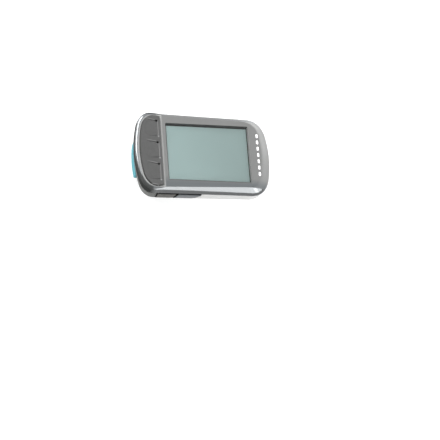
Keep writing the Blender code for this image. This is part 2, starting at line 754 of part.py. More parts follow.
def make_keypad(looks):
    rings = [
        at_height(keypad_outline(0.0), KEYPAD_BOTTOM),
        at_height(keypad_outline(0.0), KEYPAD_TOP - KEYPAD_EDGE),
        at_height(keypad_outline(-KEYPAD_EDGE), KEYPAD_TOP),
    ]
    outlines = [key_outline(KEY_PITCH * side, GAP) for side in (-1, 0, 1)]
    openings = [prism(outline, KEYPAD_BOTTOM - 1, KEY_TOP + 1) for outline in outlines]
    finish("keypad_panel", cut(loft(rings), *openings), looks["keypad"])
    for side, place in ((1, "left"), (0, "centre"), (-1, "right")):
        y = KEY_PITCH * side
        full = key_outline(y)
        crown = key_outline(y, -KEY_EDGE)
        rings = [
            at_height(full, KEY_BOTTOM),
            [Vector((p.x, p.y, key_top(p.x) - KEY_EDGE)) for p in full],
            [Vector((p.x, p.y, key_top(p.x))) for p in crown],
        ]
        stem = cylinder((STEM_X, STEM_Y * side), STEM_RADIUS, STEM_BOTTOM, KEY_BOTTOM + 0.4, 16)
        origin = (STEM_X, STEM_Y * side, STEM_BOTTOM)
        finish(f"front_button_{place}", joined(loft(rings), stem), looks["keypad"], origin)
        make_front_switch(f"front_switch_{place}", STEM_Y * side, looks["metal"])


def make_front_switch(name, y, look):
    half = SWITCH_SIDE / 2
    body = box((STEM_X - half, STEM_X + half, y - half, y + half, OVER_BOARD, OVER_BOARD + SWITCH_HEIGHT))
    radius, top = SWITCH_NUB
    nub = cylinder((STEM_X, y), radius, OVER_BOARD + SWITCH_HEIGHT - 0.2, OVER_BOARD + top, 12)
    finish(name, joined(body, nub), look)


def side_key_core():
    """What is hollow behind the side keys."""
    low, *middle, high = SIDE_KEY_HEIGHTS
    heights = (low - 1.0, low, *middle, high, high + 1.0)
    return loft([at_height(lower_outline(z, -SIDE_KEY_DEPTH), z) for z in heights])


def side_key(outline, side, stem_x, flange_x):
    """A side key that follows the wall, set back above its ledge, with a captive flange and a stem."""
    ledge, step_back = SIDE_KEY_LEDGE
    low_z, *middle, high_z = SIDE_KEY_HEIGHTS
    profile = [(z, SIDE_KEY_PROUD) for z in (low_z, *middle, ledge)]
    profile += [(ledge + 0.05, SIDE_KEY_PROUD - step_back), (high_z, SIDE_KEY_PROUD - step_back)]
    outer = loft([at_height(lower_outline(z, grow), z) for z, grow in profile])
    inner_y = SIDE_KEY_INNER_Y
    outer_y = NOTCH_Y[1]
    cap = cut(common(side_prism(outline, side, inner_y, outer_y), outer), side_key_core())
    behind = loft([at_height(lower_outline(z, -WALL - GAP), z) for z in SIDE_KEY_HEIGHTS])
    low_x, high_x = flange_x
    bottom = min(point[1] for point in outline) - GAP
    flange_outline = ((low_x, bottom), (high_x, bottom), (high_x, SIDE_FLANGE_TOP), (low_x, SIDE_FLANGE_TOP))
    flange = cut(common(side_prism(flange_outline, side, inner_y, outer_y), behind), side_key_core())
    half_x = SIDE_STEM[0] / 2
    half_z = SIDE_STEM[1] / 2
    near, far = sorted((side * SIDE_STEM_TIP, side * SIDE_STEM_ROOT))
    stem = box((stem_x - half_x, stem_x + half_x, near, far, SIDE_STEM_Z - half_z, SIDE_STEM_Z + half_z))
    return joined(cap, flange, stem)


def side_seal(low_x, high_x, side, stems):
    """The thin rubber sheet behind the side keys, with a slot for each stem."""
    near, far = sorted((side * SIDE_SEAL_Y[0], side * SIDE_SEAL_Y[1]))
    sheet = box((low_x, high_x, near, far, SIDE_SEAL_BOTTOM, SIDE_FLANGE_TOP))
    half_x = SIDE_STEM[0] / 2 + GAP
    half_z = SIDE_STEM[1] / 2 + GAP
    low, high = SIDE_STEM_Z - half_z, SIDE_STEM_Z + half_z
    slots = [box((x - half_x, x + half_x, near - 1, far + 1, low, high)) for x in stems]
    return cut(sheet, *slots)


def make_side_keys(looks):
    down_flange = (ZOOM_DOWN_OUTLINE[0][0] - SIDE_FLANGE, ZOOM_FLANGE_END)
    up_flange = (ZOOM_FLANGE_START, ZOOM_UP_OUTLINE[2][0] + SIDE_FLANGE)
    power_flange = (POWER_OUTLINE[0][0] - SIDE_FLANGE, POWER_OUTLINE[1][0] + SIDE_FLANGE)
    keys = (
        ("zoom_down_button", ZOOM_DOWN_OUTLINE, -1, ZOOM_DOWN_X, down_flange, "key_warm", "zoom_down_switch"),
        ("zoom_up_button", ZOOM_UP_OUTLINE, -1, ZOOM_UP_X, up_flange, "key_cool", "zoom_up_switch"),
        ("power_button", POWER_OUTLINE, 1, POWER_X, power_flange, "key_warm", "power_switch"),
    )
    width, near_y, far_y, low_z, high_z = SIDE_SWITCH
    for name, outline, side, stem_x, flange_x, look, switch in keys:
        origin = (stem_x, side * SIDE_STEM_TIP, SIDE_STEM_Z)
        finish(name, side_key(outline, side, stem_x, flange_x), looks[look], origin)
        near, far = sorted((side * near_y, side * far_y))
        body = box((stem_x - width / 2, stem_x + width / 2, near, far, low_z, high_z))
        finish(switch, body, looks["metal"])
    finish("zoom_key_seal", side_seal(*ZOOM_SEAL_X, -1, (ZOOM_DOWN_X, ZOOM_UP_X)), looks["rubber"])
    finish("power_key_seal", side_seal(*POWER_SEAL_X, 1, (POWER_X,)), looks["rubber"])


# Charging port


def make_port(looks):
    face = rounded_rectangle(
        COVER_WIDTH, COVER_Z[1] - COVER_Z[0], COVER_CORNER, (0.0, (COVER_Z[0] + COVER_Z[1]) / 2)
    )
    block = end_prism(face, -40.0, COVER_INNER_X)
    bowed = casing_outline(*COVER_BOW)
    cover = common(block, prism(bowed, 0.0, 20.0))
    cover = joined(cover, box(PLUG))
    finish("usb_cover", cover, looks["teal"], (COVER_HINGE[0], 0.0, COVER_HINGE[1]))
    finish("usb_cover_anchor", box(ANCHOR), looks["teal"], bevel=0.2)
    mouth = (SOCKET[0] - 1, SOCKET[0] + SOCKET_DEPTH, *grown(SOCKET, -SOCKET_SHEET)[2:])
    middle = (SOCKET[4] + SOCKET[5]) / 2
    half = SOCKET_TONGUE / 2
    tongue = (
        SOCKET[0] + 0.4, SOCKET[1] - 0.5,
        -SOCKET_TONGUE_HALF, SOCKET_TONGUE_HALF,
        middle - half, middle + half,
    )
    finish("usb_socket", joined(cut(box(SOCKET), box(mouth)), box(tongue)), looks["metal"])
    hole = (PORT_GASKET[0] - 1, PORT_GASKET[1] + 1, *grown(SOCKET, GAP)[2:])
    finish("usb_gasket", cut(box(PORT_GASKET), box(hole)), looks["rubber"])
    finish("usb_board", box(PORT_BOARD), looks["board"])
    finish("board_connector", box(BOARD_CONNECTOR), looks["black"])


# Board, battery and the small parts


def make_inside(looks):
    (low_x, high_x), half = BOARD_HALF
    (tail_x, nose_x), tab = BOARD_TABS
    board_outline = (
        (low_x, -half), (high_x, -half), (high_x, -tab), (nose_x, -tab), (nose_x, tab), (high_x, tab),
        (high_x, half), (low_x, half), (low_x, tab), (tail_x, tab), (tail_x, -tab), (low_x, -tab),
    )
    finish("main_board", prism(board_outline, *BOARD_Z), looks["board"])
    cell = rounded_rectangle(BATTERY[1] - BATTERY[0], BATTERY[3] - BATTERY[2], BATTERY_CORNER)
    finish("battery_cell", prism(cell, BATTERY[4], BATTERY[5]), looks["foil"], bevel=0.5)
    finish("battery_pad", box(BATTERY_PAD), looks["rubber"])
    finish("battery_flex", strip(BATTERY_LEAD, *BATTERY_LEAD_Y, FLEX_THICKNESS), looks["flex"])
    finish("battery_connector", box(BATTERY_CONNECTOR), looks["white"])
    finish("gps_antenna", box(GPS_ANTENNA), looks["ceramic"])
    finish("processor_shield", box(PROCESSOR_SHIELD), looks["metal"], bevel=0.2)
    finish("radio_shield", box(RADIO_SHIELD), looks["metal"], bevel=0.2)
    centre, radius, bottom = BUZZER
    finish("buzzer", cylinder(centre, radius, bottom, UNDER_BOARD), looks["black"])
    finish("barometer", box(BAROMETER), looks["metal"])
    radius, thickness = VENT_MEMBRANE
    low = FLOOR + STACK_GAP
    finish("vent_membrane", cylinder(VENT_CENTRE, radius, low, low + thickness, 16), looks["white"])


def make_looks():
    return {
        "shell": material("shell_grey", (0.27, 0.27, 0.27), 0.35),
        "base": material("base_grey", (0.33, 0.33, 0.33), 0.45),
        "keypad": material("keypad_elastomer", (0.14, 0.14, 0.14), 0.75),
        "key_warm": material("key_warm_grey", (0.17, 0.165, 0.155), 0.7),
        "key_cool": material("key_cool_grey", (0.2, 0.23, 0.26), 0.5),
        "rubber": material("seal_rubber", (0.03, 0.03, 0.03), 0.8),
        "teal": material("port_cover_teal", (0.04, 0.3, 0.36), 0.6),
        "clear": material("clear_lens", (0.95, 0.95, 0.95), 0.05, transmission=1.0),
        "screen": material("screen_grey_green", (0.36, 0.46, 0.44), 0.3),
        "white": material("white_diffuser", (0.85, 0.85, 0.85), 0.4),
        "black": material("black_plastic", (0.02, 0.02, 0.02), 0.5),
        "board": material("board_green", (0.02, 0.14, 0.06), 0.5),
        "flex": material("flex_amber", (0.4, 0.18, 0.03), 0.4),
        "metal": material("plated_steel", (0.6, 0.6, 0.6), 0.3, metallic=1.0),
        "foil": material("cell_foil", (0.55, 0.56, 0.58), 0.4, metallic=0.8),
        "ceramic": material("antenna_ceramic", (0.6, 0.5, 0.36), 0.6),
    }


def main():
    clear_scene()
    looks = make_looks()
    make_upper_housing(looks["shell"])
    make_lower_housing(looks["base"])
    make_case_seal(looks["rubber"])
    make_case_screws(looks["metal"])
    make_mount_insert(looks["base"])
    make_insert_screws(looks["metal"])
    make_display(looks)
    make_lights(looks)
    make_keypad(looks)
    make_side_keys(looks)
    make_port(looks)
    make_inside(looks)


main()
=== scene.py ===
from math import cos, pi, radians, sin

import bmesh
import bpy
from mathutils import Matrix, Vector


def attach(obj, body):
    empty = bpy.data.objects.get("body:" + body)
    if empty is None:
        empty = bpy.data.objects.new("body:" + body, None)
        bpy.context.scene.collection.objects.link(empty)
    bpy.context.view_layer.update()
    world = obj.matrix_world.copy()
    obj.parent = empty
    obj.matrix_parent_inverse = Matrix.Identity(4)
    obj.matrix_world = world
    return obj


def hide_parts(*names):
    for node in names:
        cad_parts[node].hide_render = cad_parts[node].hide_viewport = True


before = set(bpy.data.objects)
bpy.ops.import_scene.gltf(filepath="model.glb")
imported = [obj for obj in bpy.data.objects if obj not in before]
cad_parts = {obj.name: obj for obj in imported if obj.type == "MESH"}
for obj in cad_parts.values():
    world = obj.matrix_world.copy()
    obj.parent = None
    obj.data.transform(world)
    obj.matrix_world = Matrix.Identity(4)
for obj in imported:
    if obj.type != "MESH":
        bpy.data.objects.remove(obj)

# Looks, light and camera for the cycling computer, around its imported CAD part.
#
# Frame: +X from the rider's keys towards the row of lights, +Y the rider's left, +Z up out of the display.
# Lengths are in millimetres, and place() turns them into metres. Colours are linear.
# A pair of numbers for a fade gives where it starts and where it ends.

MM = 0.001

# Heights above the mount insert's bottom face
FACE_TOP = 20.9
FACE_UNDERSIDE = 19.7
CEILING = 18.7
UPPER_SHELL_BOTTOM = 17.05
LOWER_SHELL_TOP = 16.75
FLOOR = 6.0
BACK = 4.0
WALL = 1.6
GROOVE = 0.35
GAP = 0.3

# Upper casing: its widest height and where the rider's end starts to round over, with the nose, tail and
# half widths there and at the face
UPPER_LOW = 17.2
RIM_LOW = 19.6
NOSE_X = (37.3, 32.0)
NOSE_POWER = 1.4
RIM_X = (-37.3, -37.05, -35.3)
RIM_HALF = (23.75, 23.6, 21.5)
RIM_POWER = 1.7
RIM_START_X = -20.5

# Sides of the upper casing, each at the two x positions of SIDE_X: half width low on the wall and at the
# face, how far the wall and the bevel lean in per millimetre of height, and how softly the two meet
SIDE_X = (27.0, -21.0)
WALL_HALF = (23.2, 23.6)
WALL_LEAN = (0.42, 0.2)
FACE_HALF = (19.9, 21.7)
BEVEL_LEAN = 1.19
BEVEL_BLEND = 0.24
CORNER_NOSE = (10.0, 8.4)
CORNER_TAIL = (7.6, 7.9)
NOSE_RADIUS = 70.0
TAIL_RADIUS = 72.0

# Lower casing: height, nose, tail, half widths and corners at each section, then the heights where its
# straight walls start and end
LOWER_SECTIONS = (
    (BACK, 25.0, -30.2, 15.0, 16.6, 7.5, 7.6),
    (5.2, 28.0, -32.6, 17.2, 18.8, 8.0, 7.6),
    (8.0, 33.0, -34.9, 20.4, 21.4, 9.0, 7.6),
    (11.9, 36.4, -36.25, 22.6, 23.2, 9.8, 7.6),
    (16.6, 37.3, -37.3, 23.2, 23.75, 10.0, 7.6),
)
BELLY_TOP = 11.9
LOWER_HIGH = 16.6

# Display
DISPLAY_X = 2.85
WINDOW = (45.4, 34.0)
WINDOW_FLARE = 0.12
SCREEN_AREA = (44.0, 32.4)
BORDER = 0.15
LENS = (45.3, 33.9)
LENS_FLANGE = (47.6, 35.8)
LENS_POCKET = (48.2, 36.4)
LENS_Z = (18.5, 20.6)
FLANGE_TOP = 19.0
PANEL = (46.0, 34.2)
PANEL_Z = (17.1, 18.4)
SCREEN_Z = 19.25

# Row of lights
LIGHT_X = 30.35
LIGHT_COUNT = 7
LIGHT_PITCH = 3.85
LIGHT_SLOT = (1.2, 2.4)
LIGHT_CLEARANCE = 0.1
LIGHT_BAR = (29.2, 31.5, -13.2, 13.2, 16.2, 17.2)

# Keypad: nose, tail, half widths and corners of its outline; the casing's rounded shoulder beside it, by its
# length along x, depth and half width
KEYPAD = (-22.9, -34.5, 21.0, 21.2, 0.8, 7.6)
KEYPAD_CLEARANCE = 0.12
KEYPAD_EDGE = 0.4
SHOULDER = (1.2, 0.7, 21.0)
KEYPAD_TOP = 21.8
KEYPAD_BOTTOM = 19.8
KEY_TOP = 22.1
KEY_X = (-31.2, -24.65)
KEY_WIDTH = 9.4
KEY_PITCH = 13.1
KEY_CORNER = 1.3
KEY_TAIL_CORNER = 2.6
KEY_BOTTOM = 20.2
PAD_EDGE = 0.5
SEAM = 0.035
DIMPLE_X = -24.9
DIMPLE_RADIUS = 0.6
GROOVE_LENGTH = 6.8
GROOVE_WIDTH = 1.1
GROOVE_DEPTH = 0.5
GROOVE_INSET = 0.3
GROOVE_RISE = 1.3
STEM_X = -26.6
STEM_Y = 11.0
STEM_RADIUS = 1.1
STEM_BOTTOM = 16.05

# Side keys and charging port. Outlines are in x and z.
ZOOM_DOWN_OUTLINE = ((-25.3, 10.0), (-17.0, 10.0), (-14.9, 16.5), (-25.3, 16.5))
ZOOM_UP_OUTLINE = ((-15.7, 10.0), (-6.2, 10.0), (-1.8, 15.0), (-1.8, 16.5), (-13.6, 16.5))
ZOOM_NOTCH_OUTLINE = ((-26.2, 9.7), (-6.06, 9.7), (-1.5, 14.88), (-1.5, 17.6), (-26.2, 17.6))
POWER_OUTLINE = ((-20.0, 11.3), (-9.0, 11.3), (-9.0, 16.5), (-20.0, 16.5))
POWER_NOTCH_OUTLINE = ((-20.3, 11.0), (-8.7, 11.0), (-8.7, 17.6), (-20.3, 17.6))
NOTCH_Y = (20.0, 26.0)
SIDE_KEY_Y = (18.0, 26.0)
SIDE_KEY_Z = (9.5, 10.5, 11.9, 16.6)
SIDE_KEY_PROUD = 0.15
SIDE_KEY_DEPTH = 2.4
SIDE_KEY_LEDGE = (15.7, 0.9)
SIDE_KEY_EDGE = 0.12
SIDE_FLANGE_TOP = 16.2
SIDE_STEM = (2.4, 1.4)
SIDE_STEM_Z = 14.9
SIDE_STEM_Y = (19.8, 21.6)
# Each side key's outline, the sign of its side, its stem's x, its flange's ends and its look
SIDE_KEYS = (
    ("zoom_down_button", ZOOM_DOWN_OUTLINE, -1, -21.0, (-25.9, -17.2), "key_warm"),
    ("zoom_up_button", ZOOM_UP_OUTLINE, -1, -8.9, (-13.4, -1.2), "key_cool"),
    ("power_button", POWER_OUTLINE, 1, -14.5, (-20.6, -8.4), "key_warm"),
)
COVER_WIDTH = 20.0
COVER_Z = (6.4, 12.2)
COVER_CORNER = 1.4
POCKET_X = -34.1
PORT_BLOCK = (-34.4, -32.6, -11.9, 11.9, 5.0, 12.8)
PORT_HOLE = (-35.0, -32.0, -4.6, 4.6, 8.2, 11.7)
ANCHOR_HOLE = (-34.15, -31.75, -2.35, 2.35, 6.35, 7.85)

# Mount insert
INSERT_FLANGE_RADIUS = 12.4
INSERT_SEAT = 4.9
INSERT_SCREW_X = 6.4
VENT_CENTRE = (-24.0, -9.5)
VENT_HOLE_RADIUS = 0.5

# Case screws: x, y and seat height
CASE_SCREWS = ((-29.8, -15.5, 7.8), (-29.8, 15.5, 7.8), (29.8, -15.9, 10.2), (29.8, 15.9, 10.2))
BOSS_RADIUS = 2.1
SCREW_HEAD_RADIUS = 1.5
SCREW_RADIUS = 0.8
SCREW_CLEARANCE = 0.2
SCREW_TOP = 18.0

# Upper casing's satin paint, with painted shade on the rider's right, and the fades of the painted shade in
# the nose's fold, of the painted highlight on the shoulder beside the keypad and of the painted shadow line
# along the window
SATIN = (0.138, 0.139, 0.136)
NEAR_SIDE_SHADE = (0.082, 0.090, 0.094)
NEAR_Y = (-15.0, -18.5)
FOLD_SHADE_FADE = (2.0, 0.5)
SHOULDER_HIGHLIGHT_FADE = (1.5, 0.7)
SHADOW_LINE_HALF = (0.3, 0.15)

# Upper casing's glossy trim: the half width where it starts, at x 0 and less per millimetre of x; the crease
# that ends it, by x, half width and slope; the height of the bevel's bend, at x 0 and less per millimetre of
# x, below which the trim carries painted shade, as it does on the far side
TRIM = (0.205, 0.213, 0.218)
TRIM_METAL = 0.6
TRIM_EDGE = (20.93, 0.0375)
CREASE = (30.9, 19.5, 0.88)
BEVEL_BEND = (19.25, 0.0227)
BEND_SHADE_FADE = (0.2, -0.25)
FAR_SHADE_X = (28.0, 20.0)
FAR_SHADE_Y = (14.0, 17.0)

# Dull wall round the rider's end, darkened with painted shade, which climbs a little on the rider's right
TAIL_WALL_SHADE = (0.03, 0.032, 0.031)
TAIL_SHADE_TOP = 19.75
TAIL_SHADE_X = -29.5
TAIL_SHADE_FADE = (-26.8, -29.0)
TAIL_SHADE_RISE = (-3.0, -16.0, 0.0, 1.1)

# Painted shade on the upper casing's bottom lip and on the window's walls, with how far the walls' shade
# reaches round the opening
LIP_SHADE = (0.03, 0.032, 0.031)
WINDOW_WALL_SHADE = (0.1, 0.1, 0.096)
WINDOW_LIP = 0.25

# Lower casing's painted shade towards the rider, and painted shade in the gaps round the side keys, which lie
# inside the wall: its half width at x 0 and z 0, more per millimetre of z and less per millimetre of x, and
# below WALL_FALL's height less by its factor times the depth squared
LOWER_PAINTED_SHADE = (0.062, 0.064, 0.06)
LOWER_SHADE_X = (-2.0, -27.0)
WALL_PLANE = (21.497, 0.117, 0.01)
WALL_FALL = (11.5, 0.165)
RECESS_SHADE = (0.01, 0.01, 0.01)
RECESS_DEPTH = (0.1, 0.2)
RECESS_Z = (9.4, 9.6)
RECESS_ACROSS = (17.0, 18.0)
RECESS_START = (-26.5, -26.4)
RECESS_END = (-1.3, -1.4)

# Keypad's painted highlights on the ridge beside each pad (x, half width, half length) and on the flank of
# each groove, and painted spots, a highlight on the corner and shade in the dimple (x, y from the pad's
# middle, radius)
KEYPAD_HIGHLIGHT = (0.2, 0.2, 0.198)
RIDGE_HIGHLIGHT = (-24.25, 0.4, 4.6)
FLANK_HIGHLIGHT_OFFSET = 0.55
FLANK_HIGHLIGHT_HALF = (0.32, 0.1)
PAD_HIGHLIGHT_SPOT = (-24.15, -4.95, 0.55)
DIMPLE_SHADE_SPOT = (-24.9, 4.45, 0.8)

# Display's painted gradient of light: its lit end and its shaded end
SCREEN_LIT_END = (0.438, 0.568, 0.562)
SCREEN_SHADED_END = (0.342, 0.442, 0.436)
ROUGH_SPREAD = 0.08

# Light panels, with lengths in metres: azimuth from +X towards +Y, elevation, width, height and radiance
PANEL_DISTANCE = 1.2
LIGHT_PANELS = {
    "overhead": (160.0, 66.0, 0.7, 0.7, 2.1),
    "side_panel": (-66.0, 36.0, 1.2, 0.62, 3.8),
    "corner_panel": (-14.0, 33.0, 1.1, 0.5, 3.2),
    "rim_panel": (130.0, 27.0, 0.95, 0.55, 8.5),
    "nose_panel": (48.0, 15.0, 0.9, 0.6, 6.4),
}

# Looks of the CAD nodes that are seen as they are
NODE_LOOKS = {
    "rubber": ("case_seal", "lens_gasket", "zoom_key_seal", "power_key_seal", "usb_gasket", "battery_pad"),
    "metal": (
        "case_screw_1", "case_screw_2", "case_screw_3", "case_screw_4", "insert_screw_1", "insert_screw_2",
        "front_switch_left", "front_switch_centre", "front_switch_right", "zoom_down_switch",
        "zoom_up_switch", "power_switch", "usb_socket", "processor_shield", "radio_shield", "barometer",
    ),
    "base": ("mount_insert",),
    "teal": ("usb_cover", "usb_cover_anchor"),
    "black": ("display_frame", "buzzer", "board_connector"),
    "board": ("main_board", "usb_board", "led_board"),
    "flex": ("lcd_flex_cable", "battery_flex"),
    "foil": ("battery_cell",),
    "ceramic": ("gps_antenna",),
    # These parts carry a faint painted emission that stands in for light
    "painted_emission": ("backlight_unit", "vent_membrane", "battery_connector"),
}

END_STEPS = 8
CORNER_STEPS = 26
SIDE_STEPS = 44
BEZIER_HANDLE = 0.5523


# Outlines


def bezier(start, start_way, end, end_way, handle, steps):
    """Points after start, up to end, of a cubic that leaves along start_way and arrives along end_way."""
    start = Vector(start)
    end = Vector(end)
    first = start + Vector(start_way).normalized() * handle
    second = end - Vector(end_way).normalized() * handle
    points = []
    for step in range(1, steps + 1):
        t = step / steps
        u = 1 - t
        points.append(start * u**3 + first * (3 * u * u * t) + second * (3 * u * t * t) + end * t**3)
    return points


def grown_outline(row, grow, nose_bow=NOSE_RADIUS, side=None):
    """A closed outline, anticlockwise from the middle of the nose: bowed ends, straight sides, round corners.

    It is a row of measures grown outwards by grow. If side is given, it is the grown half width at each x
    between the corners, up to RIM_START_X, where it widens to the tail's.
    """
    nose, tail, half_nose, half_tail, corner_nose, corner_tail = row
    nose += grow
    tail -= grow
    half_nose += grow
    half_tail += grow
    corner_nose += grow
    corner_tail += grow
    nose_end = half_nose - corner_nose
    tail_end = half_tail - corner_tail
    half = []
    for step in range(END_STEPS + 1):
        y = nose_end * step / END_STEPS
        half.append(Vector((nose - y * y / (2 * nose_bow), y)))
    nose_side = Vector((half[-1].x - corner_nose, half_nose))
    tail_corner = Vector((tail + tail_end**2 / (2 * TAIL_RADIUS), tail_end))
    tail_side = Vector((tail_corner.x + corner_tail, half_tail))
    if side is None:
        arriving = leaving = tail_side - nose_side
    else:
        nose_side.y = side(nose_side.x)
        arriving = Vector((-1, side(nose_side.x - 1) - nose_side.y))
        leaving = Vector((-1, 0))
    outwards = (-nose_end / nose_bow, 1)
    half += bezier(half[-1], outwards, nose_side, arriving, corner_nose * BEZIER_HANDLE, CORNER_STEPS)
    for step in range(1, SIDE_STEPS + 1):
        point = nose_side.lerp(tail_side, step / SIDE_STEPS)
        if side is not None:
            widening = eased((RIM_START_X - point.x) / (RIM_START_X - tail_side.x))
            point.y = mixed(side(point.x), half_tail, widening)
        half.append(point)
    inwards = (-tail_end / TAIL_RADIUS, -1)
    half += bezier(tail_side, leaving, tail_corner, inwards, corner_tail * BEZIER_HANDLE, CORNER_STEPS)
    for step in range(1, END_STEPS + 1):
        y = tail_end * (1 - step / END_STEPS)
        half.append(Vector((tail + y * y / (2 * TAIL_RADIUS), y)))
    mirrored = [Vector((point.x, -point.y)) for point in reversed(half[1:-1])]
    return half + mirrored


def mixed(a, b, share):
    return a + (b - a) * share


def eased(share):
    """0 to 1 with a soft start and end."""
    share = min(max(share, 0.0), 1.0)
    return share * share * (3 - 2 * share)


def rim_curve(values, z):
    """From values[0] at the widest height to values[1] at RIM_LOW, then round to values[2] at the face."""
    if z <= RIM_LOW:
        return mixed(values[0], values[1], max(z - UPPER_LOW, 0.0) / (RIM_LOW - UPPER_LOW))
    share = (z - RIM_LOW) / (FACE_TOP - RIM_LOW)
    return values[2] - (values[2] - values[1]) * (1 - share**RIM_POWER) ** (1 / RIM_POWER)


def side_half(x, z):
    """Half width of the upper casing's side at x and height z: a leaning wall, softly cut by the bevel."""
    share = (SIDE_X[0] - x) / (SIDE_X[0] - SIDE_X[1])
    wall = mixed(*WALL_HALF, share) - (z - UPPER_LOW) * mixed(*WALL_LEAN, share)
    bevel = mixed(*FACE_HALF, share) + (FACE_TOP - z) * BEVEL_LEAN
    apart = abs(wall - bevel)
    return min(wall, bevel) - max(BEVEL_BLEND - apart, 0.0) ** 2 / (4 * BEVEL_BLEND)


def upper_outline(z, grow=0.0):
    """The upper casing's outline at height z."""
    z = max(z, UPPER_LOW)
    t = (z - UPPER_LOW) / (FACE_TOP - UPPER_LOW)
    nose = NOSE_X[1] + (NOSE_X[0] - NOSE_X[1]) * (1 - t**NOSE_POWER) ** (1 / NOSE_POWER)
    corner_nose = mixed(CORNER_NOSE[0], CORNER_NOSE[1], t)
    row = (
        nose,
        rim_curve(RIM_X, z),
        side_half(nose - corner_nose, z),
        rim_curve(RIM_HALF, z),
        corner_nose,
        mixed(CORNER_TAIL[0], CORNER_TAIL[1], t),
    )
    return grown_outline(row, grow, side=lambda x: side_half(x, z) + grow)


def lower_row(z):
    """The lower casing's row at height z: straight walls above BELLY_TOP and a smooth belly below it."""
    table = LOWER_SECTIONS
    z = min(max(z, table[0][0]), table[-1][0])
    index = next(i for i in range(len(table) - 1) if z <= table[i + 1][0])
    low, high = table[index], table[index + 1]
    share = (z - low[0]) / (high[0] - low[0])
    if z >= BELLY_TOP:
        return [mixed(a, b, share) for a, b in zip(low[1:], high[1:])]
    before = table[max(index - 1, 0)]
    after = table[index + 2]
    other = high if high[0] == BELLY_TOP else low
    span = high[0] - low[0]
    t2 = share * share
    t3 = t2 * share
    row = []
    for column in range(1, len(low)):
        slope_low = (high[column] - before[column]) / (high[0] - before[0]) * span
        slope_high = (after[column] - other[column]) / (after[0] - other[0]) * span
        row.append(
            (2 * t3 - 3 * t2 + 1) * low[column]
            + (t3 - 2 * t2 + share) * slope_low
            + (3 * t2 - 2 * t3) * high[column]
            + (t3 - t2) * slope_high
        )
    return row


def rounded_rectangle(length, width, radius, centre=(0.0, 0.0), tail_radius=None):
    """Anticlockwise points of a rectangle with round corners, of tail_radius at its low x end if given."""
    points = []
    steps = 8
    low_radius = radius if tail_radius is None else tail_radius
    corners = ((1, 1, 0, radius), (-1, 1, 90, low_radius), (-1, -1, 180, low_radius), (1, -1, 270, radius))
    for side_x, side_y, first, bend in corners:
        middle_x = centre[0] + side_x * (length / 2 - bend)
        middle_y = centre[1] + side_y * (width / 2 - bend)
        for step in range(steps + 1):
            angle = radians(first + 90 * step / steps)
            points.append(Vector((middle_x + bend * cos(angle), middle_y + bend * sin(angle))))
    return points


def circle(radius, centre=(0.0, 0.0), count=32):
    angles = [2 * pi * step / count for step in range(count)]
    return [Vector((centre[0] + radius * cos(a), centre[1] + radius * sin(a))) for a in angles]


# Solids, as bmeshes


def at_height(points, z):
    return [Vector((point[0], point[1], z)) for point in points]


def loft(rings):
    """A closed solid through rings of points."""
    mesh = bmesh.new()
    loops = [[mesh.verts.new(point) for point in ring] for ring in rings]
    count = len(rings[0])
    for low, high in zip(loops, loops[1:]):
        for index in range(count):
            after = (index + 1) % count
            mesh.faces.new((low[index], low[after], high[after], high[index]))
    mesh.faces.new(list(reversed(loops[0])))
    mesh.faces.new(loops[-1])
    bmesh.ops.recalc_face_normals(mesh, faces=mesh.faces)
    return mesh


def prism(points, low, high):
    return loft([at_height(points, low), at_height(points, high)])


def box(size):
    low_x, high_x, low_y, high_y, low_z, high_z = size
    corners = ((low_x, low_y), (high_x, low_y), (high_x, high_y), (low_x, high_y))
    return prism(corners, low_z, high_z)


def cylinder(centre, radius, low, high, count=32):
    return prism(circle(radius, centre, count), low, high)


def turned(mesh, *rows):
    """The mesh with its axes swapped by the rows of a matrix."""
    bmesh.ops.transform(mesh, matrix=Matrix(rows).to_4x4(), verts=mesh.verts)
    bmesh.ops.recalc_face_normals(mesh, faces=mesh.faces)
    return mesh


def side_prism(outline, side, inner, outer):
    """An (x, z) outline pushed through from |y| inner to outer, on the side whose sign is given."""
    return turned(prism(outline, inner, outer), (1, 0, 0), (0, 0, side), (0, 1, 0))


def end_prism(points, low_x, high_x):
    """A (y, z) outline pushed through from low_x to high_x."""
    return turned(prism(points, low_x, high_x), (0, 0, 1), (1, 0, 0), (0, 1, 0))


def flared(outline_at, low, top, radius, steps=5):
    """A cutter whose mouth at height top rounds the hole's edge over by radius."""
    rings = [at_height(outline_at(0.0), low)]
    for step in range(steps + 1):
        angle = radians(85) * step / steps
        grow = radius * (1 - cos(angle))
        rings.append(at_height(outline_at(grow), top - radius + radius * sin(angle)))
    rings.append(at_height(outline_at(radius), top + 1.0))
    return loft(rings)


def added(name, data):
    """A new object in the scene."""
    thing = bpy.data.objects.new(name, data)
    bpy.context.scene.collection.objects.link(thing)
    return thing


def mesh_object(name, mesh):
    data = bpy.data.meshes.new(name)
    mesh.to_mesh(data)
    mesh.free()
    return added(name, data)


def combined(base, others, operation):
    """The base solid with the others cut away, joined on, or kept in common, by exact Booleans."""
    holder = mesh_object("scratch", base)
    tools = [mesh_object("scratch", other) for other in others]
    for tool in tools:
        modifier = holder.modifiers.new("tool", "BOOLEAN")
        modifier.operation = operation
        modifier.solver = "EXACT"
        modifier.object = tool
    result = bmesh.new()
    result.from_object(holder, bpy.context.evaluated_depsgraph_get())
    for thing in [holder, *tools]:
        bpy.data.objects.remove(thing, do_unlink=True)
    return result


def cut(base, *others):
    return combined(base, others, "DIFFERENCE")


def joined(base, *others):
    return combined(base, others, "UNION")


def common(base, *others):
    return combined(base, others, "INTERSECT")


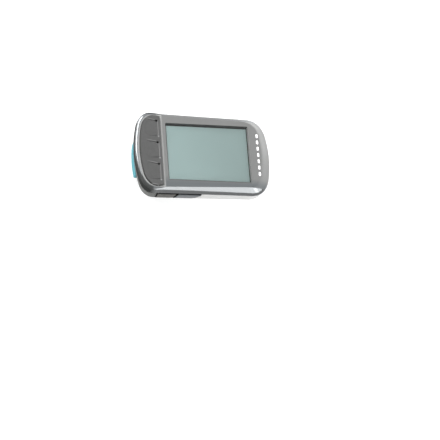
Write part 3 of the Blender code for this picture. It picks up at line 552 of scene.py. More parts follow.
def place(name, mesh, look, replaces, body="housing", sharp=28.0, more_looks=(), look_of=None):
    """The named piece of a bmesh in millimetres, riding on a body of the frame in place of CAD nodes.

    With more looks, look_of gives each face the number of its look from its centre and normal.
    """
    if look_of:
        for face in mesh.faces:
            face.material_index = look_of(face.calc_center_median(), face.normal)
    bmesh.ops.scale(mesh, vec=(MM, MM, MM), verts=mesh.verts)
    thing = mesh_object(name, mesh)
    for each in (look, *more_looks):
        thing.data.materials.append(each)
    thing.data.shade_smooth()
    thing.data.set_sharp_from_angle(angle=radians(sharp))
    modifier = thing.modifiers.new("weighted", "WEIGHTED_NORMAL")
    modifier.keep_sharp = True
    modifier.weight = 60
    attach(thing, body)
    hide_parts(*replaces)
    return thing


# Materials


class Nodes:
    """A small helper that builds one material's node tree."""

    def __init__(self, name):
        self.material = bpy.data.materials.new(name)
        self.material.use_nodes = True
        self.tree = self.material.node_tree
        self.shader = self.tree.nodes["Principled BSDF"]
        self.output = self.tree.nodes["Material Output"]
        self.at = self.add("ShaderNodeTexCoord").outputs["Object"]

    def put(self, value, socket):
        """Link an output to a socket, or set the socket to a number, a colour or a vector."""
        if isinstance(value, bpy.types.NodeSocket):
            self.tree.links.new(value, socket)
        elif socket.type == "RGBA":
            socket.default_value = (*value, 1.0)
        else:
            socket.default_value = value

    def add(self, kind, inputs=None, **settings):
        node = self.tree.nodes.new(kind)
        for key, value in settings.items():
            setattr(node, key, value)
        for name, value in (inputs or {}).items():
            self.put(value, node.inputs[name])
        return node

    def give(self, name, value):
        self.put(value, self.shader.inputs[name])

    def noise(self, scale, detail=4.0, at=None):
        inputs = {"Vector": at or self.at, "Scale": scale, "Detail": detail, "Roughness": 0.55}
        return self.add("ShaderNodeTexNoise", inputs).outputs["Fac"]

    def ramp(self, value, low, high, low_out=0.0, high_out=1.0):
        inputs = {"Value": value, "From Min": low, "From Max": high, "To Min": low_out, "To Max": high_out}
        return self.add("ShaderNodeMapRange", inputs).outputs["Result"]

    def mix(self, share, first, second, blend="MIX"):
        inputs = {"Factor": share, "A": first, "B": second}
        return self.add("ShaderNodeMix", inputs, data_type="RGBA", blend_type=blend).outputs["Result"]

    def maths(self, operation, first, second):
        node = self.add("ShaderNodeMath", operation=operation)
        for socket, value in zip(node.inputs, (first, second)):
            self.put(value, socket)
        return node.outputs["Value"]

    def plus(self, first, second):
        return self.maths("ADD", first, second)

    def minus(self, first, second):
        return self.maths("SUBTRACT", first, second)

    def times(self, first, *others):
        product = first
        for other in others:
            product = self.maths("MULTIPLY", product, other)
        return product

    def larger(self, first, second):
        return self.maths("MAXIMUM", first, second)

    def apart(self, first, second):
        """How far apart two values are."""
        return self.maths("ABSOLUTE", self.minus(first, second), 0.0)

    def band(self, value, middle, none, full):
        """1 where value lies within full of middle, 0 where it lies more than none away."""
        return self.ramp(self.apart(value, middle), none, full)

    def axes(self):
        """The x, y and z of a point in millimetres."""
        split = self.add("ShaderNodeSeparateXYZ", {"Vector": self.at})
        return [self.times(split.outputs[name], 1 / MM) for name in "XYZ"]

    def relief(self, height, depth):
        """Raise the surface by up to depth millimetres."""
        bump = self.add("ShaderNodeBump", {"Height": height, "Distance": depth * MM})
        self.give("Normal", bump.outputs["Normal"])


def scaled(colour, by):
    return tuple(min(channel * by, 1.0) for channel in colour)


def mottled(n, fine_scale, broad_share):
    """0 to 1 in soft blotches with a finer speckle on them."""
    broad = n.times(n.noise(60.0), broad_share)
    fine = n.times(n.noise(fine_scale, 6.0), 1 - broad_share)
    return n.ramp(n.plus(broad, fine), 0.35, 0.65)


def worn_edges(n, width, bend, patches, amount):
    """How rubbed a point is: in patches on edges, where a rounded normal bends away from the true one."""
    rounded = n.add("ShaderNodeBevel", {"Radius": width * MM}, samples=6)
    geometry = n.add("ShaderNodeNewGeometry")
    agreement = n.add("ShaderNodeVectorMath", operation="DOT_PRODUCT")
    n.put(rounded.outputs["Normal"], agreement.inputs[0])
    n.put(geometry.outputs["Normal"], agreement.inputs[1])
    edge = n.ramp(agreement.outputs["Value"], *bend)
    return n.times(edge, n.ramp(n.noise(220.0, 5.0), *patches), amount)


def surface(
    name, colour, roughness, metallic=0.0, grain=2500.0, grain_depth=0.01, variation=0.06, wear=0.35,
    coat=0.0, coat_roughness=0.1, specular=0.5, shaded=None,
):
    """A material with mottled colour, uneven roughness, a fine grain in relief and lighter, rubbed edges.

    If shaded is given, it is a function that adds masked tones of painted shade and highlight to the base
    colour: (nodes, base) to base.
    """
    n = Nodes(name)
    base = n.mix(mottled(n, 700.0, 0.6), scaled(colour, 1 - variation), scaled(colour, 1 + variation))
    if shaded:
        base = shaded(n, base)
    worn = worn_edges(n, 0.25, (0.995, 0.85), (0.38, 0.68), wear)
    lighter = tuple(min(channel * 1.5 + 0.05, 1.0) for channel in colour)
    n.give("Base Color", n.mix(worn, base, lighter))
    rough = n.ramp(n.noise(160.0, 5.0), 0.3, 0.7, roughness - ROUGH_SPREAD, roughness + ROUGH_SPREAD)
    n.give("Roughness", n.plus(rough, n.times(worn, 0.1)))
    n.relief(n.noise(grain, 3.0), grain_depth)
    n.give("Metallic", metallic)
    n.give("Specular IOR Level", specular)
    n.give("Coat Weight", coat)
    n.give("Coat Roughness", coat_roughness)
    n.material.diffuse_color = (*colour, 1.0)
    return n.material


def shade_recesses(n, base):
    """Painted shade inside the gaps round the side keys, below the wall's surface."""
    x, y, z = n.axes()
    across = n.apart(y, 0.0)
    wall = n.minus(n.plus(n.times(z, WALL_PLANE[1]), WALL_PLANE[0]), n.times(x, WALL_PLANE[2]))
    below_belly = n.larger(n.minus(WALL_FALL[0], z), 0.0)
    wall = n.minus(wall, n.times(n.maths("POWER", below_belly, 2.0), WALL_FALL[1]))
    deep = n.ramp(n.minus(wall, across), *RECESS_DEPTH)
    near_keys = n.times(n.ramp(z, *RECESS_Z), n.ramp(across, *RECESS_ACROSS))
    along = n.times(n.ramp(x, *RECESS_START), n.ramp(x, *RECESS_END))
    # Painted shade in the gaps round the side keys
    return n.mix(n.times(deep, near_keys, along), base, RECESS_SHADE)


def shade_base(n, base):
    """The lower casing, with painted shade inside the key gaps and round the rider's end."""
    x = n.axes()[0]
    # Painted shade round the rider's end
    return shade_recesses(n, n.mix(n.ramp(x, *LOWER_SHADE_X), base, LOWER_PAINTED_SHADE))


def shade_keypad(n, base):
    """Keypad: painted highlights by each pad on its ridge, corner and groove flank; painted shade in its
    dimple.
    """
    x, y = n.axes()[:2]
    from_pad = n.minus(n.maths("MODULO", n.plus(y, KEY_PITCH * 3.5), KEY_PITCH), KEY_PITCH / 2)
    # Painted highlight along the ridge beside each pad
    ridge_x, ridge_half, ridge_reach = RIDGE_HIGHLIGHT
    ridge = n.band(x, ridge_x, ridge_half, ridge_half * 0.3)
    ridge = n.times(ridge, n.band(from_pad, 0.0, ridge_reach, ridge_reach - 0.8), 0.5)
    base = n.mix(ridge, base, KEYPAD_HIGHLIGHT)
    # Painted highlight on each groove's flank
    share = n.ramp(x, DIMPLE_X, DIMPLE_X - GROOVE_LENGTH)
    flank_y = n.plus(n.times(share, GROOVE_RISE), KEY_WIDTH / 2 - GROOVE_INSET + FLANK_HIGHLIGHT_OFFSET)
    flank = n.times(n.ramp(share, 0.04, 0.16), n.ramp(share, 1.0, 0.5), 0.6)
    base = n.mix(n.times(n.band(from_pad, flank_y, *FLANK_HIGHLIGHT_HALF), flank), base, KEYPAD_HIGHLIGHT)
    # Painted highlight spot on each pad's corner, painted shade spot in its dimple
    for (spot_x, spot_y, radius), grey in ((PAD_HIGHLIGHT_SPOT, 0.2), (DIMPLE_SHADE_SPOT, 0.004)):
        dx = n.maths("POWER", n.apart(x, spot_x), 2.0)
        dy = n.maths("POWER", n.apart(from_pad, spot_y), 2.0)
        away = n.maths("POWER", n.plus(dx, dy), 0.5)
        base = n.mix(n.ramp(away, radius, radius * 0.6), base, (grey, grey, grey))
    return base


def satin_tones(n, axes, tone, past_crease, beyond):
    """The satin paint: painted shade on the rider's right, in the nose's fold and along the window's near
    edge.
    """
    x, y, z = axes
    satin = n.mix(tone, scaled(SATIN, 0.96), scaled(SATIN, 1.04))
    # Painted shade on the rider's right
    satin = n.mix(n.ramp(y, *NEAR_Y), satin, NEAR_SIDE_SHADE)
    # Painted shade in the nose's fold
    fold = n.times(n.ramp(past_crease, 0.0, 0.1), n.ramp(past_crease, *FOLD_SHADE_FADE), beyond)
    satin = n.mix(fold, satin, scaled(SATIN, 0.3))
    # Painted highlight on the shoulder beside the keypad
    shoulder = n.ramp(n.minus(x, KEYPAD[0]), *SHOULDER_HIGHLIGHT_FADE)
    shoulder = n.times(shoulder, n.ramp(z, FACE_TOP - SHOULDER[1] - 0.05, FACE_TOP - SHOULDER[1]))
    satin = n.mix(shoulder, satin, scaled(SATIN, 2.2))
    # Painted shadow line along the window's near edge
    line_x = n.band(x, DISPLAY_X, WINDOW[0] / 2, WINDOW[0] / 2 - 0.4)
    line = n.times(n.band(y, -WINDOW[1] / 2 - WINDOW_LIP, *SHADOW_LINE_HALF), line_x, 0.7)
    return n.mix(line, satin, scaled(SATIN, 0.4))


def gloss_tones(n, axes, tone, sides, dull_shaded_tail):
    """The glossy trim: painted shade along its far side, on the wall under the bevel and on the dull tail
    wall.
    """
    x, y, z = axes
    gloss = n.mix(tone, scaled(TRIM, 0.93), scaled(TRIM, 1.07))
    # Painted shade along the far side
    far = n.times(n.ramp(y, *FAR_SHADE_Y), n.ramp(x, *FAR_SHADE_X), sides)
    gloss = n.mix(far, gloss, scaled(TRIM, 0.32))
    # Painted shade on the wall under the bevel
    bend = n.minus(BEVEL_BEND[0], n.times(x, BEVEL_BEND[1]))
    wall = n.times(n.ramp(n.minus(z, bend), *BEND_SHADE_FADE), sides)
    gloss = n.mix(wall, gloss, scaled(TRIM, 0.42))
    # Painted shade on the dull wall round the rider's end
    return n.mix(dull_shaded_tail, gloss, TAIL_WALL_SHADE)


def shell_surface():
    """Satin grey on the face and nose, with a darker, glossy trim on the sides and round the rider's end."""
    n = Nodes("shell_satin_and_trim")
    axes = n.axes()
    x, y, z = axes
    across = n.apart(y, 0.0)
    edge_y = n.minus(TRIM_EDGE[0], n.times(x, TRIM_EDGE[1]))
    beyond = n.ramp(n.minus(across, edge_y), -0.05, 0.05)
    crease_x = n.plus(n.times(n.minus(across, CREASE[1]), CREASE[2]), CREASE[0])
    past_crease = n.minus(x, crease_x)
    sides = n.times(beyond, n.ramp(past_crease, 0.06, -0.06))
    rider_x = n.ramp(x, RIM_START_X - 3.0, RIM_START_X - 3.2)
    trim = n.larger(sides, n.times(rider_x, n.ramp(z, FACE_TOP - 0.01, FACE_TOP - 0.04)))
    # Painted shade on the dull wall round the rider's end, climbing on the rider's right
    bumper_top = n.plus(n.ramp(y, *TAIL_SHADE_RISE), TAIL_SHADE_TOP)
    dull_shaded_tail = n.times(n.ramp(x, *TAIL_SHADE_FADE), n.ramp(n.minus(bumper_top, z), -0.12, 0.08))

    tone = mottled(n, 900.0, 0.5)
    satin = satin_tones(n, axes, tone, past_crease, beyond)
    base = n.mix(trim, satin, gloss_tones(n, axes, tone, sides, dull_shaded_tail))
    # Painted shade on the window's walls
    window = n.times(
        n.band(x, DISPLAY_X, WINDOW[0] / 2 + WINDOW_LIP, WINDOW[0] / 2 + WINDOW_LIP - 0.05),
        n.ramp(across, WINDOW[1] / 2 + WINDOW_LIP, WINDOW[1] / 2 + WINDOW_LIP - 0.05),
        n.ramp(z, FACE_TOP - 0.02, FACE_TOP - 0.1),
    )
    # Painted shade under the bottom lip
    under_lip = n.ramp(z, UPPER_SHELL_BOTTOM + 0.12, UPPER_SHELL_BOTTOM + 0.08)
    base = n.mix(under_lip, n.mix(window, base, WINDOW_WALL_SHADE), LIP_SHADE)
    worn = worn_edges(n, 0.2, (0.99, 0.8), (0.4, 0.7), 0.25)
    n.give("Base Color", n.mix(worn, base, scaled(SATIN, 1.6)))

    uneven = n.noise(160.0, 5.0)
    satin_rough = n.ramp(uneven, 0.3, 0.7, 0.36, 0.46)
    gloss_rough = n.ramp(uneven, 0.3, 0.7, 0.13, 0.19)
    rough = n.plus(satin_rough, n.times(n.minus(gloss_rough, satin_rough), trim))
    n.give("Roughness", n.plus(rough, n.times(trim, dull_shaded_tail, 0.45)))
    unplated = n.larger(dull_shaded_tail, n.larger(window, under_lip))
    n.give("Metallic", n.times(n.larger(n.minus(trim, unplated), 0.0), TRIM_METAL))
    n.relief(n.times(n.noise(3200.0, 3.0), n.ramp(trim, 0.0, 1.0, 1.0, 0.25)), 0.004)
    n.material.diffuse_color = (*SATIN, 1.0)
    return n.material


def screen_surface():
    """The reflective display: painted light, pale grey-green at the rider's end to deeper, with a dark
    border.
    """
    n = Nodes("display_cell")
    x, y = n.axes()[:2]
    half_x = SCREEN_AREA[0] / 2
    half_y = SCREEN_AREA[1] / 2
    cloud = n.noise(45.0, 3.0)
    from_middle = n.minus(x, DISPLAY_X)
    # A painted gradient of light across the display, paler at the rider's end
    across = n.plus(n.ramp(from_middle, -half_x, half_x), n.ramp(cloud, 0.3, 0.7, -0.12, 0.12))
    area = n.mix(across, SCREEN_LIT_END, SCREEN_SHADED_END)
    grid = {"Vector": n.at, "Scale": 5200.0, "Randomness": 0.0}
    dots = n.add("ShaderNodeTexVoronoi", grid, distance="CHEBYCHEV", feature="F1")
    dotted = n.mix(1.0, area, n.ramp(dots.outputs["Distance"], 0.42, 0.5, 1.0, 0.86), "MULTIPLY")
    inside_x = n.maths("LESS_THAN", n.apart(x, DISPLAY_X), half_x)
    inside_y = n.maths("LESS_THAN", n.apart(y, BORDER / 2), half_y - BORDER / 2)
    geometry = n.add("ShaderNodeNewGeometry")
    normal = n.add("ShaderNodeSeparateXYZ", {"Vector": geometry.outputs["Normal"]})
    upward = n.maths("GREATER_THAN", normal.outputs["Z"], 0.7)
    border = n.mix(cloud, (0.085, 0.1, 0.095), (0.12, 0.135, 0.13))
    n.give("Base Color", n.mix(n.times(inside_x, inside_y, upward), border, dotted))
    n.give("Roughness", n.ramp(n.noise(300.0), 0.3, 0.7, 0.42, 0.55))
    n.relief(n.noise(4000.0, 2.0), 0.003)
    n.material.diffuse_color = (0.36, 0.46, 0.44, 1.0)
    return n.material


def clear_surface():
    """The hard-coated clear window: see-through, with a faint reflection and fine wipe marks."""
    n = Nodes("clear_window")
    tint = n.mix(n.noise(90.0), (0.955, 0.965, 0.96), (0.985, 0.99, 0.985))
    clear = n.add("ShaderNodeBsdfTransparent", {"Color": tint})
    n.give("Base Color", tint)
    streaks = {"Vector": n.at, "Scale": (300.0, 4000.0, 300.0), "Rotation": (0.0, 0.0, 0.5)}
    wiped = n.add("ShaderNodeMapping", streaks)
    marks = n.noise(1.0, 5.0, wiped.outputs["Vector"])
    n.give("Roughness", n.ramp(marks, 0.45, 0.75, 0.05, 0.12))
    n.relief(marks, 0.0005)
    fresnel = n.add("ShaderNodeFresnel", {"IOR": 1.3})
    share = n.add("ShaderNodeMixShader", {"Fac": fresnel.outputs["Fac"]})
    n.put(clear.outputs["BSDF"], share.inputs[1])
    n.put(n.shader.outputs["BSDF"], share.inputs[2])
    n.put(share.outputs["Shader"], n.output.inputs["Surface"])
    n.material.diffuse_color = (0.9, 0.95, 0.95, 0.3)
    return n.material


def painted_emission_surface():
    """The milky windows of the row of lights, with a faint painted emission that stands in for light."""
    n = Nodes("milky_windows")
    tone = n.mix(n.noise(900.0), (0.86, 0.87, 0.87), (0.95, 0.95, 0.95))
    n.give("Base Color", tone)
    n.give("Roughness", n.ramp(n.noise(500.0), 0.3, 0.7, 0.28, 0.42))
    n.relief(n.noise(3500.0, 2.0), 0.006)
    # A faint painted emission standing in for light
    n.give("Emission Color", tone)
    n.give("Emission Strength", 0.12)
    n.material.diffuse_color = (0.9, 0.9, 0.9, 1.0)
    return n.material


def make_looks():
    return {
        "shell": shell_surface(),
        "base": surface(
            "base_light_grey", (0.5, 0.5, 0.496), 0.5, grain=2600.0, grain_depth=0.012, variation=0.04,
            shaded=shade_base,
        ),
        # Painted shade for the window's long walls and the lens's long sides
        "shaded_window_wall": surface("window_side_painted_shade", (0.085, 0.09, 0.087), 0.7, specular=0.1, wear=0.05),
        # Painted shade for the dull wall round the rider's end
        "dull_shaded_tail": surface(
            "tail_wall_painted_shade", (0.032, 0.034, 0.033), 0.65, grain_depth=0.012, specular=0.05, wear=0.15
        ),
        "keypad": surface(
            "keypad_elastomer", (0.066, 0.066, 0.065), 0.72, grain=1500.0, grain_depth=0.03, variation=0.09,
            wear=0.3, specular=0.3, shaded=shade_keypad,
        ),
        # The side keys carry the painted shade of the gaps round them
        "key_warm": surface(
            "side_key_warm_grey", (0.08, 0.078, 0.072), 0.62, grain=1800.0, grain_depth=0.02, specular=0.3,
            shaded=shade_recesses,
        ),
        "key_cool": surface(
            "side_key_cool_grey", (0.05, 0.058, 0.066), 0.4, grain=2000.0, coat=0.25, coat_roughness=0.2,
            shaded=shade_recesses,
        ),
        "rubber": surface(
            "seal_rubber", (0.03, 0.03, 0.03), 0.78, grain_depth=0.02, variation=0.15, wear=0.2
        ),
        "teal": surface(
            "port_cover_teal", (0.055, 0.31, 0.37), 0.6, grain=1700.0, grain_depth=0.02, variation=0.08,
            wear=0.3,
        ),
        "black": surface("black_plastic", (0.022, 0.022, 0.022), 0.5, variation=0.12),
        "board": surface("circuit_board", (0.015, 0.13, 0.05), 0.45, grain=1200.0, variation=0.12),
        "flex": surface("flex_amber", (0.42, 0.17, 0.025), 0.4, grain=900.0, variation=0.12),
        "metal": surface(
            "plated_steel", (0.62, 0.62, 0.6), 0.3, metallic=1.0, grain=1900.0, grain_depth=0.006, wear=0.5
        ),
        "foil": surface(
            "cell_foil", (0.58, 0.59, 0.6), 0.38, metallic=0.85, grain=500.0, grain_depth=0.05,
            variation=0.08, wear=0.3,
        ),
        "ceramic": surface("antenna_ceramic", (0.6, 0.5, 0.36), 0.6, variation=0.08),
        "screen": screen_surface(),
        "clear": clear_surface(),
        "painted_emission": painted_emission_surface(),
    }


# Upper casing


def display_rectangle(size, radius):
    return lambda grow=0.0: rounded_rectangle(
        size[0] + 2 * grow, size[1] + 2 * grow, radius + grow, (DISPLAY_X, 0.0)
    )


def light_outline(index):
    y = (index - (LIGHT_COUNT - 1) / 2) * LIGHT_PITCH
    return lambda grow=0.0: rounded_rectangle(
        LIGHT_SLOT[0] + 2 * grow, LIGHT_SLOT[1] + 2 * grow, (LIGHT_SLOT[0] + 2 * grow) * 0.49, (LIGHT_X, y)
    )


def keypad_outline(grow):
    return grown_outline(KEYPAD, grow, nose_bow=1e4)


def shoulder_cutter():
    """What is taken off the face beside the keypad, to leave a rounded shoulder along its screen side."""
    length, depth, half_width = SHOULDER
    edge = KEYPAD[0] + KEYPAD_CLEARANCE
    steps = 8
    outline = [(edge - 0.4, FACE_TOP + 0.5), (edge - 0.4, FACE_TOP - depth)]
    for step in range(steps + 1):
        angle = radians(86) * step / steps
        outline.append((edge + length * (1 - cos(angle)), FACE_TOP - depth + depth * sin(angle)))
    outline.append((edge + length, FACE_TOP + 0.5))
    return side_prism(outline, 1, -half_width, half_width)


def shell_look(centre, normal):
    """1 on the dull wall round the rider's end, 2 on the window's long side walls, both painted shade, 0
    elsewhere.
    """
    if centre.x < TAIL_SHADE_X and centre.z < TAIL_SHADE_TOP and abs(normal.z) < 0.6:
        return 1
    inside_x = abs(centre.x - DISPLAY_X) < WINDOW[0] / 2 + WINDOW_LIP
    inside_y = abs(centre.y) < WINDOW[1] / 2 + WINDOW_FLARE + 0.01
    if inside_x and inside_y and abs(normal.y) > 0.2:
        return 2
    return 0


def make_upper_shell(looks):
    steps = 26
    shares = [1 - (1 - step / steps) ** 1.6 for step in range(1, steps + 1)]
    heights = [UPPER_LOW + (FACE_TOP - UPPER_LOW) * share for share in shares]
    rings = [
        at_height(upper_outline(UPPER_LOW, -GROOVE), UPPER_SHELL_BOTTOM),
        at_height(upper_outline(UPPER_LOW, -0.1), UPPER_SHELL_BOTTOM + 0.03),
        at_height(upper_outline(UPPER_LOW, -0.02), UPPER_SHELL_BOTTOM + 0.1),
    ]
    rings += [at_height(upper_outline(z), z) for z in sorted([*heights, TAIL_SHADE_TOP])]
    inner_heights = (UPPER_SHELL_BOTTOM - 1, UPPER_LOW, CEILING - 0.5, CEILING)
    cavity = loft([at_height(upper_outline(z, -WALL), z) for z in inner_heights])
    bosses = [cylinder((x, y), BOSS_RADIUS, UPPER_SHELL_BOTTOM, CEILING + 1) for x, y, _ in CASE_SCREWS]
    cavity = cut(cavity, *bosses)
    stem_hole = STEM_RADIUS + GAP + 0.05
    screw_hole = SCREW_RADIUS + SCREW_CLEARANCE
    holes = [cylinder((STEM_X, STEM_Y * side), stem_hole, CEILING - 1, FACE_TOP) for side in (-1, 0, 1)]
    holes += [cylinder((x, y), screw_hole, LOWER_SHELL_TOP, SCREW_TOP + GAP) for x, y, _ in CASE_SCREWS]
    for index in range(LIGHT_COUNT):
        outline = light_outline(index)
        holes.append(flared(lambda grow: outline(LIGHT_CLEARANCE + grow), CEILING - 1, FACE_TOP, 0.08, 3))
    pocket = prism(display_rectangle(LENS_POCKET, 1.0)(), CEILING - 0.5, FACE_UNDERSIDE)
    window = flared(display_rectangle(WINDOW, 0.6), FACE_UNDERSIDE - 0.5, FACE_TOP, WINDOW_FLARE)
    recess = flared(lambda grow: keypad_outline(KEYPAD_CLEARANCE + grow), FACE_UNDERSIDE, FACE_TOP, 0.2)
    body = cut(loft(rings), cavity, pocket, window, recess, shoulder_cutter(), *holes)
    place(
        "upper_shell", body, looks["shell"], replaces=("upper_housing",), sharp=25.0,
        more_looks=(looks["dull_shaded_tail"], looks["shaded_window_wall"]), look_of=shell_look,
    )


def make_light_pipe(looks):
    posts = []
    for index in range(LIGHT_COUNT):
        outline = light_outline(index)
        posts.append(loft([
            at_height(outline(0.0), LIGHT_BAR[5] - 0.4),
            at_height(outline(0.0), FACE_TOP - 0.15),
            at_height(outline(-0.05), FACE_TOP - 0.05),
            at_height(outline(-0.15), FACE_TOP),
        ]))
    pipe = joined(box(LIGHT_BAR), *posts)
    place("milky_light_pipe", pipe, looks["painted_emission"], replaces=("light_pipe",))


# Display


def make_display(looks):
    lens = display_rectangle(LENS, 0.5)
    flange = display_rectangle(LENS_FLANGE, 0.8)
    rings = [
        at_height(flange(), LENS_Z[0]),
        at_height(flange(), FLANGE_TOP),
        at_height(lens(), FLANGE_TOP),
        at_height(lens(), LENS_Z[1] - 0.03),
        at_height(lens(-0.03), LENS_Z[1]),
    ]
    bonded = prism(display_rectangle(SCREEN_AREA, 0.2)(0.2), LENS_Z[0] - 1, SCREEN_Z + 0.05)
    # The lens's long sides carry the window walls' painted shade
    place(
        "clear_window", cut(loft(rings), bonded), looks["clear"], replaces=("display_lens",),
        more_looks=(looks["shaded_window_wall"],), look_of=lambda centre, normal: int(abs(normal.y) > 0.5),
    )
    base = prism(display_rectangle(PANEL, 0.4)(), *PANEL_Z)
    cell = prism(display_rectangle(SCREEN_AREA, 0.1)(0.05), PANEL_Z[1] - 0.3, SCREEN_Z)
    place("display_cell", joined(base, cell), looks["screen"], replaces=("lcd_panel",))


# Lower casing and side keys


def lower_ring(z, inset=0.0, lift=0.0):
    """The lower casing's outline at height z, grown by inset, at that height plus lift."""
    return at_height(grown_outline(lower_row(z), inset), z + lift)


def wall_loft(inset, heights, lift=0.0):
    return loft([lower_ring(z, inset, lift) for z in heights])


def make_lower_shell(looks):
    steps = 22
    heights = [BACK + (BELLY_TOP - BACK) * (step / steps) ** 1.3 for step in range(steps + 1)]
    rings = [lower_ring(z) for z in (*heights, 13.5, 15.0, 16.3, LOWER_HIGH)]
    rings.append(at_height(grown_outline(lower_row(LOWER_HIGH), -0.1), LOWER_SHELL_TOP - 0.03))
    rings.append(at_height(grown_outline(lower_row(LOWER_HIGH), -GROOVE), LOWER_SHELL_TOP))
    cavity = wall_loft(-WALL, (FLOOR, 8.0, BELLY_TOP, LOWER_HIGH, LOWER_SHELL_TOP + 1))
    bosses = [cylinder((x, y), BOSS_RADIUS, BACK, LOWER_SHELL_TOP) for x, y, _ in CASE_SCREWS]
    cavity = cut(cavity, box(PORT_BLOCK), *bosses)
    centre = (0.0, (COVER_Z[0] + COVER_Z[1]) / 2)
    cover_height = COVER_Z[1] - COVER_Z[0]
    pocket = rounded_rectangle(COVER_WIDTH + 2 * GAP, cover_height + 2 * GAP, COVER_CORNER, centre)
    screw_hole = SCREW_RADIUS + SCREW_CLEARANCE
    cutters = [
        end_prism(pocket, -40.0, POCKET_X),
        box(PORT_HOLE),
        box(ANCHOR_HOLE),
        side_prism(ZOOM_NOTCH_OUTLINE, -1, *NOTCH_Y),
        side_prism(POWER_NOTCH_OUTLINE, 1, *NOTCH_Y),
        cylinder((0.0, 0.0), INSERT_FLANGE_RADIUS + GAP, BACK - 1, INSERT_SEAT, 96),
        cylinder(VENT_CENTRE, VENT_HOLE_RADIUS, BACK - 1, FLOOR + 1, 24),
    ]
    for x in (-INSERT_SCREW_X, INSERT_SCREW_X):
        cutters.append(cylinder((x, 0.0), screw_hole, BACK - 1, FLOOR + 1))
    for x, y, seat in CASE_SCREWS:
        cutters.append(cylinder((x, y), SCREW_HEAD_RADIUS + GAP, BACK - 2, seat))
        cutters.append(cylinder((x, y), screw_hole, seat - 1, LOWER_SHELL_TOP + 1))
    body = cut(loft(rings), cavity, *cutters)
    place("lower_shell", body, looks["base"], replaces=("lower_housing",), sharp=25.0)


def side_key_core():
    """What lies behind the side keys' inner faces."""
    return wall_loft(-SIDE_KEY_DEPTH, (SIDE_KEY_Z[0] - 0.1, *SIDE_KEY_Z, SIDE_KEY_Z[-1] + 0.3), -0.1)


def side_key(outline, side, stem_x, flange_x):
    """A side key that follows the wall, set back above its ledge, with a captive flange and a stem."""
    ledge, step_back = SIDE_KEY_LEDGE
    outer = loft([
        lower_ring(z, SIDE_KEY_PROUD - back)
        for z, back in (
            (SIDE_KEY_Z[0], 0.0),
            (SIDE_KEY_Z[1], 0.0),
            (SIDE_KEY_Z[2], 0.0),
            (ledge - 0.3, 0.0),
            (ledge - 0.1, 0.06),
            (ledge, 0.25),
            (ledge + 0.05, step_back),
            (SIDE_KEY_Z[3], step_back),
        )
    ])
    cap = cut(common(side_prism(outline, side, *SIDE_KEY_Y), outer), side_key_core())
    low_z = min(z for _, z in outline) - 0.3
    low_x, high_x = flange_x
    flange_outline = ((low_x, low_z), (high_x, low_z), (high_x, SIDE_FLANGE_TOP), (low_x, SIDE_FLANGE_TOP))
    behind_wall = wall_loft(-WALL - GAP, SIDE_KEY_Z)
    flange = cut(common(side_prism(flange_outline, side, *SIDE_KEY_Y), behind_wall), side_key_core())
    half_x = SIDE_STEM[0] / 2
    half_z = SIDE_STEM[1] / 2
    near, far = sorted(side * y for y in SIDE_STEM_Y)
    stem = box((stem_x - half_x, stem_x + half_x, near, far, SIDE_STEM_Z - half_z, SIDE_STEM_Z + half_z))
    return joined(cap, flange, stem)


def make_side_keys(looks):
    for name, outline, side, stem_x, flange_x, look in SIDE_KEYS:
        mesh = side_key(outline, side, stem_x, flange_x)
        key = place(f"{name}_cap", mesh, looks[look], body=name, replaces=(name,))
        edge = key.modifiers.new("edge", "BEVEL")
        edge.width = SIDE_KEY_EDGE * MM
        edge.segments = 2
        edge.limit_method = "ANGLE"
        edge.angle_limit = radians(40)


# Keypad


def key_top(x):
    share = (x - KEY_X[0]) / (KEY_X[1] - KEY_X[0])
    return KEYPAD_TOP + (KEY_TOP - KEYPAD_TOP) * share**2


def pad_drop(x):
    """How far a pad's edge rounds down: fully at the screen side, hardly at the rider's side."""
    return mixed(0.05, 1.0, ((x - KEY_X[0]) / (KEY_X[1] - KEY_X[0])) ** 2)


def key_outline(y, grow=0.0):
    centre = ((KEY_X[0] + KEY_X[1]) / 2, y)
    length = KEY_X[1] - KEY_X[0] + 2 * grow
    return rounded_rectangle(length, KEY_WIDTH + 2 * grow, KEY_CORNER + grow, centre, KEY_TAIL_CORNER + grow)


def groove_cutter(pad_y):
    """A tapering V that runs along a pad's far side to a round dimple at its screen-side corner."""
    y = pad_y + KEY_WIDTH / 2 - GROOVE_INSET
    start = Vector((DIMPLE_X, y))
    end = Vector((DIMPLE_X - GROOVE_LENGTH, y + GROOVE_RISE))
    top = KEYPAD_TOP + 0.6
    rings = []
    steps = 8
    for step in range(steps + 1):
        share = step / steps
        centre = start.lerp(end, share)
        width = mixed(GROOVE_WIDTH, 0.05, share**1.3) / 2
        depth = mixed(GROOVE_DEPTH, 0.02, share**1.3)
        reach = width * (top - KEYPAD_TOP + depth) / depth
        rings.append([
            Vector((centre.x, centre.y - reach, top)),
            Vector((centre.x, centre.y + reach, top)),
            Vector((centre.x, centre.y, KEYPAD_TOP - depth)),
        ])
    dimple = loft([
        at_height(circle(DIMPLE_RADIUS * 0.55, start), KEYPAD_TOP - 1.5),
        at_height(circle(DIMPLE_RADIUS, start), top),
    ])
    return joined(loft(rings), dimple)


def rounding(radius, steps=6):
    """The inset and the drop of each ring of an edge rounded by radius, from the side up to the top."""
    angles = [pi / 2 * step / steps for step in range(steps + 1)]
    return [(radius * (1 - cos(angle)), radius * (1 - sin(angle))) for angle in angles]


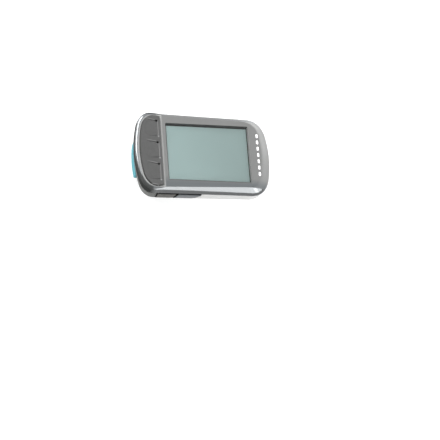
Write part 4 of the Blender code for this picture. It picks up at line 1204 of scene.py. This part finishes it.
def make_keypad(looks):
    rings = [at_height(keypad_outline(0.0), KEYPAD_BOTTOM)]
    rings += [at_height(keypad_outline(-inset), KEYPAD_TOP - drop) for inset, drop in rounding(KEYPAD_EDGE)]
    pads = (-KEY_PITCH, 0.0, KEY_PITCH)
    openings = [prism(key_outline(y, SEAM), KEYPAD_BOTTOM - 1, KEY_TOP + 1) for y in pads]
    skin = cut(loft(rings), *openings, *[groove_cutter(y) for y in pads])
    place("keypad_skin", skin, looks["keypad"], replaces=("keypad_panel",))
    for side, name in ((-1, "right"), (0, "centre"), (1, "left")):
        y = KEY_PITCH * side
        rings = [at_height(key_outline(y), KEY_BOTTOM)]
        for inset, drop in rounding(PAD_EDGE):
            outline = key_outline(y, -inset)
            rings.append([Vector((p.x, p.y, key_top(p.x) - drop * pad_drop(p.x))) for p in outline])
        stem = cylinder((STEM_X, STEM_Y * side), STEM_RADIUS, STEM_BOTTOM, KEY_BOTTOM + 0.4, 24)
        pad = cut(joined(loft(rings), stem), groove_cutter(y))
        node = f"front_button_{name}"
        place(f"front_key_{name}", pad, looks["keypad"], body=node, replaces=(node,))


# Floor, light and camera


def area_light(name, azimuth, elevation, width, height, radiance):
    """A soft panel of light that faces the part."""
    data = bpy.data.lights.new(name, "AREA")
    data.shape = "RECTANGLE"
    data.size = width
    data.size_y = height
    data.energy = radiance * width * height * pi
    thing = added(name, data)
    a = radians(azimuth)
    e = radians(elevation)
    away = Vector((cos(a) * cos(e), sin(a) * cos(e), sin(e)))
    thing.location = Vector((0.0, 0.0, 0.018)) + away * PANEL_DISTANCE
    thing.rotation_mode = "QUATERNION"
    thing.rotation_quaternion = away.to_track_quat("Z", "Y")


def make_floor():
    mesh = bmesh.new()
    half = 1.6
    corners = ((-half, -half), (half, -half), (half, half), (-half, half))
    mesh.faces.new([mesh.verts.new((x, y, 0.0)) for x, y in corners])
    floor = mesh_object("floor", mesh)
    n = Nodes("pale_paper")
    n.give("Base Color", n.mix(n.noise(30.0), (0.53, 0.53, 0.53), (0.55, 0.55, 0.55)))
    n.give("Roughness", 0.9)
    n.give("Specular IOR Level", 0.1)
    n.give("Emission Color", (1.0, 1.0, 1.0))
    n.give("Emission Strength", 0.6)
    floor.data.materials.append(n.material)


def make_world():
    """A soft surround, brightest beyond the far side of the nose and dim towards the rider's right."""
    world = bpy.data.worlds.new("studio")
    bpy.context.scene.world = world
    world.use_nodes = True
    tree = world.node_tree
    way = tree.nodes.new("ShaderNodeTexCoord")
    dot = tree.nodes.new("ShaderNodeVectorMath")
    dot.operation = "DOT_PRODUCT"
    dot.inputs[1].default_value = (0.55, 0.6, 0.58)
    tree.links.new(way.outputs["Generated"], dot.inputs[0])
    level = tree.nodes.new("ShaderNodeMapRange")
    level.interpolation_type = "SMOOTHSTEP"
    for name, value in (("From Min", -0.2), ("From Max", 0.9), ("To Min", 0.18), ("To Max", 0.95)):
        level.inputs[name].default_value = value
    tree.links.new(dot.outputs["Value"], level.inputs["Value"])
    background = tree.nodes["Background"]
    background.inputs["Color"].default_value = (0.97, 0.985, 1.0, 1.0)
    tree.links.new(level.outputs["Result"], background.inputs["Strength"])


def make_camera():
    azimuth = radians(-27.0)
    elevation = radians(60.0)
    roll = radians(26.0)
    back = Vector((
        sin(azimuth) * cos(elevation),
        -cos(azimuth) * cos(elevation),
        sin(elevation),
    ))
    right = Vector((cos(azimuth), sin(azimuth), 0.0))
    up = back.cross(right)
    turned_right = right * cos(roll) + up * sin(roll)
    turned_up = up * cos(roll) - right * sin(roll)
    data = bpy.data.cameras.new("camera")
    data.sensor_width = 36.0
    data.lens = 183.0
    camera = added("camera", data)
    aim = Vector((DISPLAY_X, 0.0, 19.3)) + turned_right * 6.5 - turned_up * 35.4
    camera.location = (aim + back * 1200.0) * MM
    camera.rotation_mode = "QUATERNION"
    camera.rotation_quaternion = Matrix((turned_right, turned_up, back)).transposed().to_quaternion()
    bpy.context.scene.camera = camera


def main():
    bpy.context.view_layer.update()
    looks = make_looks()
    for look, names in NODE_LOOKS.items():
        for name in names:
            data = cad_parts[name].data
            data.materials.clear()
            data.materials.append(looks[look])
    make_upper_shell(looks)
    make_lower_shell(looks)
    make_side_keys(looks)
    make_light_pipe(looks)
    make_display(looks)
    make_keypad(looks)
    make_floor()
    make_world()
    for name, panel in LIGHT_PANELS.items():
        area_light(name, *panel)
    make_camera()
    bpy.context.scene.view_settings.view_transform = "Standard"


main()
